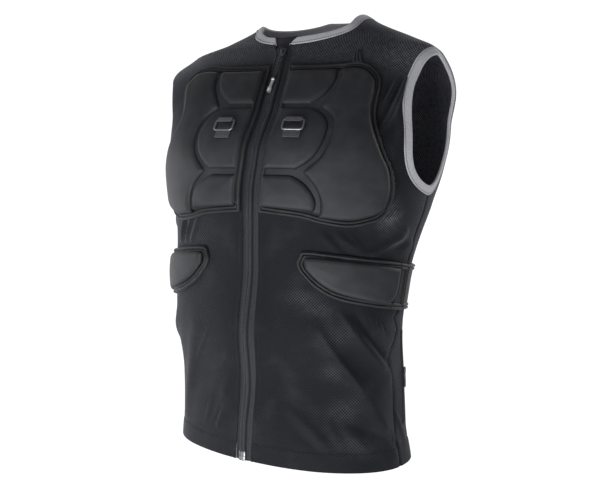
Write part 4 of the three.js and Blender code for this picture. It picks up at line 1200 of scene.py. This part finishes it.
def addPull():
    first, middle, last = (seatFrame(*pullCord[name])[0] for name in ("start", "middle", "end"))
    t = np.linspace(0, 1, pullCord["stations"])[:, None]
    bend = middle * 2 - (first + last) / 2
    line = (1 - t) ** 2 * first + 2 * t * (1 - t) * bend + t * t * last
    along = seatFrame(0, sliderForm["z"], 0)[1]
    spread = np.interp(t, pullCord["spreadAt"], pullCord["spread"])
    points, faces = joinRings([
        tubeRings(line + way * spread * along, along[None], pullCord["radius"], pullCord["sides"])
        for way in (1, -1)])
    run = runOf(line)
    shade = np.full((1, pullCord["sides"]), strapCloth["pitch"] / 2)   # the dark tone between the ribs
    weave = np.stack(np.broadcast_arrays(shade, run[:, None]), -1).reshape(-1, 2)
    cord = addPiece("zip_pull_loop", points, faces, "webbing", np.concatenate([weave, weave]),
                    stands=["zip_pull_cord"])

    turn = np.linspace(0, 2 * math.pi, pullEnd["sides"], endpoint=False)
    circle = np.stack([np.cos(turn), np.zeros_like(turn), np.sin(turn)], -1)
    rings = np.array([r * circle + (0, y - pullEnd["gap"], 0) for y, r in pullEnd["profile"]])
    ferrule = addLoft("zip_pull_ferrule", placed(seatFrame(*pullCord["end"]), rings), "pull_chrome",
                      stands=["zip_pull_end"], crease=35)


# bottom stop box and the patch that shields the chin at the top
zipBox = {"z": -597, "lift": 1.8, "power": 0.4,
          "slices": [(6.0, 3.6, 0.8, 3.6), (5.7, 4.6, 0.2, 4.1), (4.6, 5.0, 0.0, 4.3), (0.6, 5.0, 0.0, 4.3),
                     (0.3, 4.6, 0.1, 3.9), (-0.1, 4.6, 0.1, 3.9), (-0.4, 5.0, 0.0, 4.3),
                     (-4.6, 5.0, 0.0, 4.3), (-5.7, 4.6, 0.2, 4.1), (-6.0, 3.6, 0.8, 3.6)]}
garage = {"top": -41, "bottom": -66, "topHalf": 20, "bottomHalf": 12, "lean": 2.5, "lift": -1.3, "thick": 1.1,
          "fold": 0.6, "cells": (40, 40)}


def patchGrid(cells):
    # shares across from -1 to 1 and up from 0 to 1
    return np.meshgrid(np.linspace(-1, 1, cells[0] + 1), np.linspace(0, 1, cells[1] + 1))


def addZipEnds():
    seat = seatFrame(0, zipBox["z"], zipBox["lift"])
    rings = placed(seat, bodyOfSlices(zipBox["slices"], power=zipBox["power"]))
    addLoft("zip_stop_box", rings, "ring_steel", stands=["zip_box"], crease=40)

    u, v = patchGrid(garage["cells"])
    half = mix(garage["bottomHalf"], garage["topHalf"], v)
    z = mix(garage["bottom"], garage["top"], v)
    s = u * half + zipShift(z) - garage["lean"] * v
    lift = garage["lift"] + garage["fold"] * np.sin(math.pi * v) * (1 - u * u)
    addShell("zip_garage_patch", skin(s, z, lift), skin(s, z, lift - garage["thick"]), "pad_cloth",
             np.stack([s, z], -1), stands=["zip_garage"])


for side, sign in sides:
    addZipTape(side, sign)
addZipTeeth()
addSlider()
addPull()
addZipEnds()
print("front zip made")

# rings on webbing folded round their upper bar
ringForm = {"s": 47, "z": -176, "wire": 1.3, "wide": 27.4, "tall": 15.5, "corner": 4, "barLift": 18.3,
            "perCorner": 8, "sides": 14}
strap = {"wide": 21.5, "thick": 1.4, "tail": 25, "wrapDeg": 180, "lap": 4.2, "clear": 0.5, "stations": 30,
         "lapSteps": 8, "power": 0.3, "sides": 36, "shade": 0.9, "shadeFrom": -12.5, "shadeOver": 4,
         # rows of stitches below the bar, their distance from the edges and the height of the thread
         "tacks": (-19.5, -21.5), "tackInset": 1.5, "tackLift": 0.15, "tackSteps": 12}


def addRing(side, sign):
    seat = seatFrame(sign * ringForm["s"], ringForm["z"], ringForm["barLift"])
    halfWide, halfTall = ringForm["wide"] / 2 - ringForm["corner"], ringForm["tall"] / 2 - ringForm["corner"]
    line = []
    for signX, signY, start in ((1, 1, 0), (-1, 1, 90), (-1, -1, 180), (1, -1, 270)):
        turn = np.radians(start + 90 * np.linspace(0, 1, ringForm["perCorner"] + 1))
        line.append(np.stack([signX * halfWide + ringForm["corner"] * np.cos(turn),
                              signY * halfTall - ringForm["tall"] / 2 + ringForm["corner"] * np.sin(turn),
                              np.zeros_like(turn)], -1))
    line = placed(seat, np.concatenate(line))
    rings = tubeRings(line, seat[3][None], ringForm["wire"], ringForm["sides"], True)
    addLoft("loop_wire_" + side, rings, "ring_steel", closed=True, body="ring_" + side,
            stands=["loop_ring_" + side])


def addStrap(side, sign):
    seat = seatFrame(sign * ringForm["s"], ringForm["z"], ringForm["barLift"])
    middle = ringForm["wire"] + strap["clear"] + strap["thick"] / 2
    tail = np.linspace(-strap["tail"], 0, strap["stations"], endpoint=False)
    turn = np.radians(np.linspace(-90, strap["wrapDeg"] - 90, strap["stations"]))
    lap = -np.linspace(0, strap["lap"], strap["lapSteps"])[1:]
    path = np.concatenate([np.stack([tail, np.full_like(tail, -middle)], -1),
                           middle * np.stack([np.cos(turn), np.sin(turn)], -1),
                           np.stack([lap, np.full_like(lap, middle)], -1)])
    step = np.gradient(path, axis=0)
    normal = unit(np.stack([-step[:, 1], step[:, 0]], -1))
    section = roundedRing(strap["wide"] / 2, strap["thick"] / 2, strap["power"], strap["sides"])
    local = np.empty((len(path), len(section), 3))
    local[..., 0] = section[:, 0]
    local[..., 1] = path[:, :1] + normal[:, :1] * section[:, 1]
    local[..., 2] = path[:, 1:] + normal[:, 1:] * section[:, 1]
    shade = strap["shade"] * smooth((path[:, 0] - strap["shadeFrom"]) / strap["shadeOver"])
    shade = shade * (path[:, 1] < 0)
    weave = np.stack(np.broadcast_arrays(section[None, :, 0], runOf(path)[:, None], shade[:, None]), -1)
    addLoft("loop_strap_" + side, placed(seat, local), "webbing", weave, stands=["loop_webbing_" + side])
    reach = strap["wide"] / 2 - strap["tackInset"]
    across = np.linspace(-reach, reach, strap["tackSteps"])
    height = np.full_like(across, -middle + strap["thick"] / 2 + strap["tackLift"])
    lines = [np.stack([across, np.full_like(across, up), height], -1) for up in strap["tacks"]]
    return [(placed(seat, line), np.tile(seat[3], (len(line), 1))) for line in lines]


for side, sign in sides:
    addRing(side, sign)
    stitchLines.extend(addStrap(side, sign))
print("rings and straps made")

# gathered tab over the left chest pad
tabForm = {"s": 110, "top": -71.5, "bottom": -88.5, "half": 8.2, "taper": 0.62, "lean": -2.0, "lift": 5.2,
           "thick": 2.0, "sunk": 0.6, "bow": 0.12, "pleats": 3.0, "pleatRise": 1.5, "pleatFrom": 0.12,
           "sidePower": 4, "endPower": 6, "cells": (60, 40)}


def addTab():
    u, v = patchGrid(tabForm["cells"])
    half = tabForm["half"] * mix(1.0, tabForm["taper"], smooth(v))
    s = tabForm["s"] + u * half + tabForm["lean"] * v
    z = mix(tabForm["bottom"], tabForm["top"], v * (1 - tabForm["bow"] * u * u))
    gather = np.sin(math.pi * mix(tabForm["pleatFrom"], 1, v))
    pleat = tabForm["pleatRise"] * np.cos(tabForm["pleats"] * math.pi * u) * gather
    rounding = np.sqrt((1 - u ** tabForm["sidePower"]) * (1 - (2 * v - 1) ** tabForm["endPower"]))
    lift = tabForm["lift"] + (tabForm["thick"] + pleat) * rounding
    addShell("chest_gather", skin(s, z, lift), skin(s, z, tabForm["lift"] - tabForm["sunk"]), "zip_tape",
             np.stack([s, z], -1), stands=["chest_tab"])


addTab()

# pocket zip behind the left side seam
pocketForm = {"past": 18, "top": -430, "bottom": -560, "half": 5.6, "lift": 1.9, "cells": (28, 150),
              "low": -0.4, "high": 0.3, "rollAt": 2.2, "rollHalf": 1.7, "rollRise": 1.3, "endShare": 1 / 24,
              "edgeFrom": 0.9, "edgeDrop": 0.5}
# shares along the puller with its half widths and half thicknesses
puller = {"top": -484, "bottom": -511, "lift": 5.1, "half": 2.7, "stations": 26, "sides": 20, "power": 0.6,
          "widths": ((0, 0.06, 0.2, 0.6, 0.8, 0.94, 1), (0.5, 0.85, 1, 0.7, 1, 1, 0.7)),
          "thicknesses": ((0, 0.06, 0.7, 0.76, 0.95, 1), (0.5, 0.9, 0.8, 1.3, 1.3, 0.6))}


def addPocketZip():
    u, v = patchGrid(pocketForm["cells"])
    z = mix(pocketForm["bottom"], pocketForm["top"], v)
    a = u * pocketForm["half"]
    s = girth(z, "front") + pocketForm["past"] + a
    base = pocketForm["lift"] + foldLift(s, z)
    ends = smooth(np.minimum(v, 1 - v) / pocketForm["endShare"])
    roll = roundRidge(np.abs(a) - pocketForm["rollAt"], pocketForm["rollHalf"])
    roll = pocketForm["rollRise"] * ends * roll
    edge = smooth((np.abs(u) - pocketForm["edgeFrom"]) / (1 - pocketForm["edgeFrom"]))
    lift = base + pocketForm["high"] + roll - pocketForm["edgeDrop"] * edge
    addShell("pocket_welt", skin(s, z, lift), skin(s, z, base + pocketForm["low"]), "zip_tape",
             np.stack([a, z], -1), stands=["pocket_zip"])

    t = np.linspace(0, 1, puller["stations"])
    z = mix(puller["bottom"], puller["top"], t)
    s = girth(z, "front") + pocketForm["past"]
    half = puller["half"] * np.interp(t, *puller["widths"])
    thick = np.interp(t, *puller["thicknesses"])
    along, out = formFrame(s, z)[:2]
    centre = skin(s, z, puller["lift"] + foldLift(s, z))
    rings = []
    for k in range(len(t)):
        ring = roundedRing(half[k], thick[k], puller["power"], puller["sides"])
        rings.append(centre[k] + along[k] * ring[:, :1] + out[k] * ring[:, 1:])
    addLoft("pocket_puller", np.array(rings), "zip_plastic", stands=["pocket_zip_pull"], crease=40)


addPocketZip()
print("tab and pocket zip made")

# seams sewn on the panels, the zip and the hem: counts, heights and how deep the thread lies
seams = {"zipSteps": 500, "zipTop": -77, "panelTop": -306, "panelPast": 5, "panelSunk": 0.25, "raised": 0.1,
         "hemSteps": 300, "hemShares": (0.03, 0.995), "backSteps": 500, "backShares": (0.005, 1.995)}


def hemStitches(s, z):
    half = girth(z, "front") + girth(z, "back")
    folded = np.where(s > half, s - 2 * half, s)
    lift = clothPanel["top"] + clothLift(folded, z, clothPanel["noSeam"]) + seams["raised"]
    return seamLine(s, z, lift)


hemZ = bodyForm["hem"] + clothPanel["hemTall"]
for side, sign in sides:
    z = np.linspace(zipForm["stitchFrom"], seams["zipTop"], seams["zipSteps"])
    low = z[z < seams["panelTop"]]
    s = np.full_like(low, sign * (clothPanel["zipOpening"] + seams["panelPast"]))
    stitchLines.append(seamLine(s, low, clothPanel["top"] + foldLift(s, low) - seams["panelSunk"]))
    s = np.full_like(z, sign * zipForm["stitchAt"])
    stitchLines.append(seamLine(s, z, zipLift(np.abs(s), z) + seams["raised"]))
    share = np.linspace(*seams["hemShares"], seams["hemSteps"])
    z = np.full_like(share, hemZ)
    stitchLines.append(hemStitches(sign * share * girth(z, "front"), z))
share = np.linspace(*seams["backShares"], seams["backSteps"])
z = np.full_like(share, hemZ)
stitchLines.append(hemStitches(girth(z, "front") + share * girth(z, "back"), z))
addStitches("seam_stitches", stitchLines)
print("seams sewn:", len(stitchLines))

# floor and light
studio = {"floor": -1.15, "floorRadius": 1.25, "floorSides": 96, "floorTones": ("#ececec", "#f6f6f6"),
          "sky": "#ffffff",
          "around": 0.32, "behind": 1.1, "behindAngles": (62, 40), "overhead": 0.18, "ceiling": (0.3, 0.8)}


def makeStudio():
    turn = np.linspace(0, 2 * math.pi, studio["floorSides"], endpoint=False)
    rim = np.stack([np.cos(turn), np.sin(turn), np.zeros_like(turn)], -1) * studio["floorRadius"]
    mesh = bpy.data.meshes.new("floor")
    mesh.from_pydata((rim + (0, 0, studio["floor"])).tolist(), [], [list(range(len(rim)))])
    material, tree, shader = startMaterial("painted_floor", {"Roughness": 0.9})
    place = addNode(tree, "ShaderNodeTexCoord").outputs["Object"]
    cloud = addNode(tree, "ShaderNodeTexNoise", {"Scale": 3.0, "Detail": 2.0}, {"Vector": place})
    low, high = (linear(shade) for shade in studio["floorTones"])
    colour = addNode(tree, "ShaderNodeMix", {"data_type": "RGBA", 6: low, 7: high}, {0: cloud.outputs["Fac"]})
    tree.links.new(colour.outputs[2], shader.inputs["Base Color"])
    mesh.materials.append(material)
    floor = bpy.data.objects.new("floor", mesh)
    bpy.context.scene.collection.objects.link(floor)

    # a lit paper backdrop behind the vest, a dimmer room around it and a dark ceiling
    world = bpy.data.worlds.new("studio")
    world.use_nodes = True
    tree = world.node_tree
    tree.nodes.clear()
    look = addNode(tree, "ShaderNodeTexCoord").outputs["Generated"]
    turn = math.radians(viewpoint["azimuth"])
    facing = addNode(tree, "ShaderNodeVectorMath", {
        "operation": "DOT_PRODUCT", 1: (-math.sin(turn), math.cos(turn), 0)}, {0: look}).outputs["Value"]
    wide, narrow = (math.cos(math.radians(angle)) for angle in studio["behindAngles"])
    rise = addNode(tree, "ShaderNodeSeparateXYZ", None, {0: look}).outputs[2]
    room = addNode(tree, "ShaderNodeMapRange", {
        "interpolation_type": "SMOOTHSTEP", "From Min": studio["ceiling"][0],
        "From Max": studio["ceiling"][1], "To Min": studio["around"], "To Max": studio["overhead"]},
        {"Value": rise})
    backdrop = addNode(tree, "ShaderNodeMapRange", {
        "interpolation_type": "SMOOTHSTEP", "From Min": wide, "From Max": narrow}, {"Value": facing})
    strength = addNode(tree, "ShaderNodeMix", {"data_type": "FLOAT", 3: studio["behind"]}, {
        0: backdrop.outputs[0], 2: room.outputs[0]})
    sky = addNode(tree, "ShaderNodeBackground", {"Color": linear(studio["sky"])}, {
        "Strength": strength.outputs[0]})
    addNode(tree, "ShaderNodeOutputWorld", None, {"Surface": sky.outputs[0]})
    bpy.context.scene.world = world
    bpy.context.scene.view_settings.view_transform = "Standard"


# softboxes: azimuth and height round the vest, distance, size and power
boxAim = (0, 0, -0.3)
softboxes = {
    "front_box": {"azimuth": 0, "height": -1.0, "distance": 1.15, "size": 0.9, "power": 26},
    "left_box": {"azimuth": -80, "height": -0.4, "distance": 1.6, "size": 0.9, "power": 7},
    "high_strip": {"azimuth": -6, "height": 0.85, "distance": 1.3, "size": 0.3, "power": 1.6},
    "low_fill": {"azimuth": 62, "height": -1.05, "distance": 1.0, "size": 0.7, "power": 4},
    "right_rim": {"azimuth": 140, "height": 0.5, "distance": 1.6, "size": 0.7, "power": 12},
}


def addSoftbox(name):
    box = softboxes[name]
    data = bpy.data.lights.new(name, "AREA")
    data.size = box["size"]
    data.energy = box["power"]
    lamp = bpy.data.objects.new(name, data)
    turn = math.radians(box["azimuth"])
    lamp.location = (math.sin(turn) * box["distance"], -math.cos(turn) * box["distance"], box["height"])
    lamp.rotation_mode = "QUATERNION"
    lamp.rotation_quaternion = (Vector(boxAim) - lamp.location).to_track_quat("-Z", "Y")
    bpy.context.scene.collection.objects.link(lamp)


makeStudio()
for name in softboxes:
    addSoftbox(name)
print("studio lit")
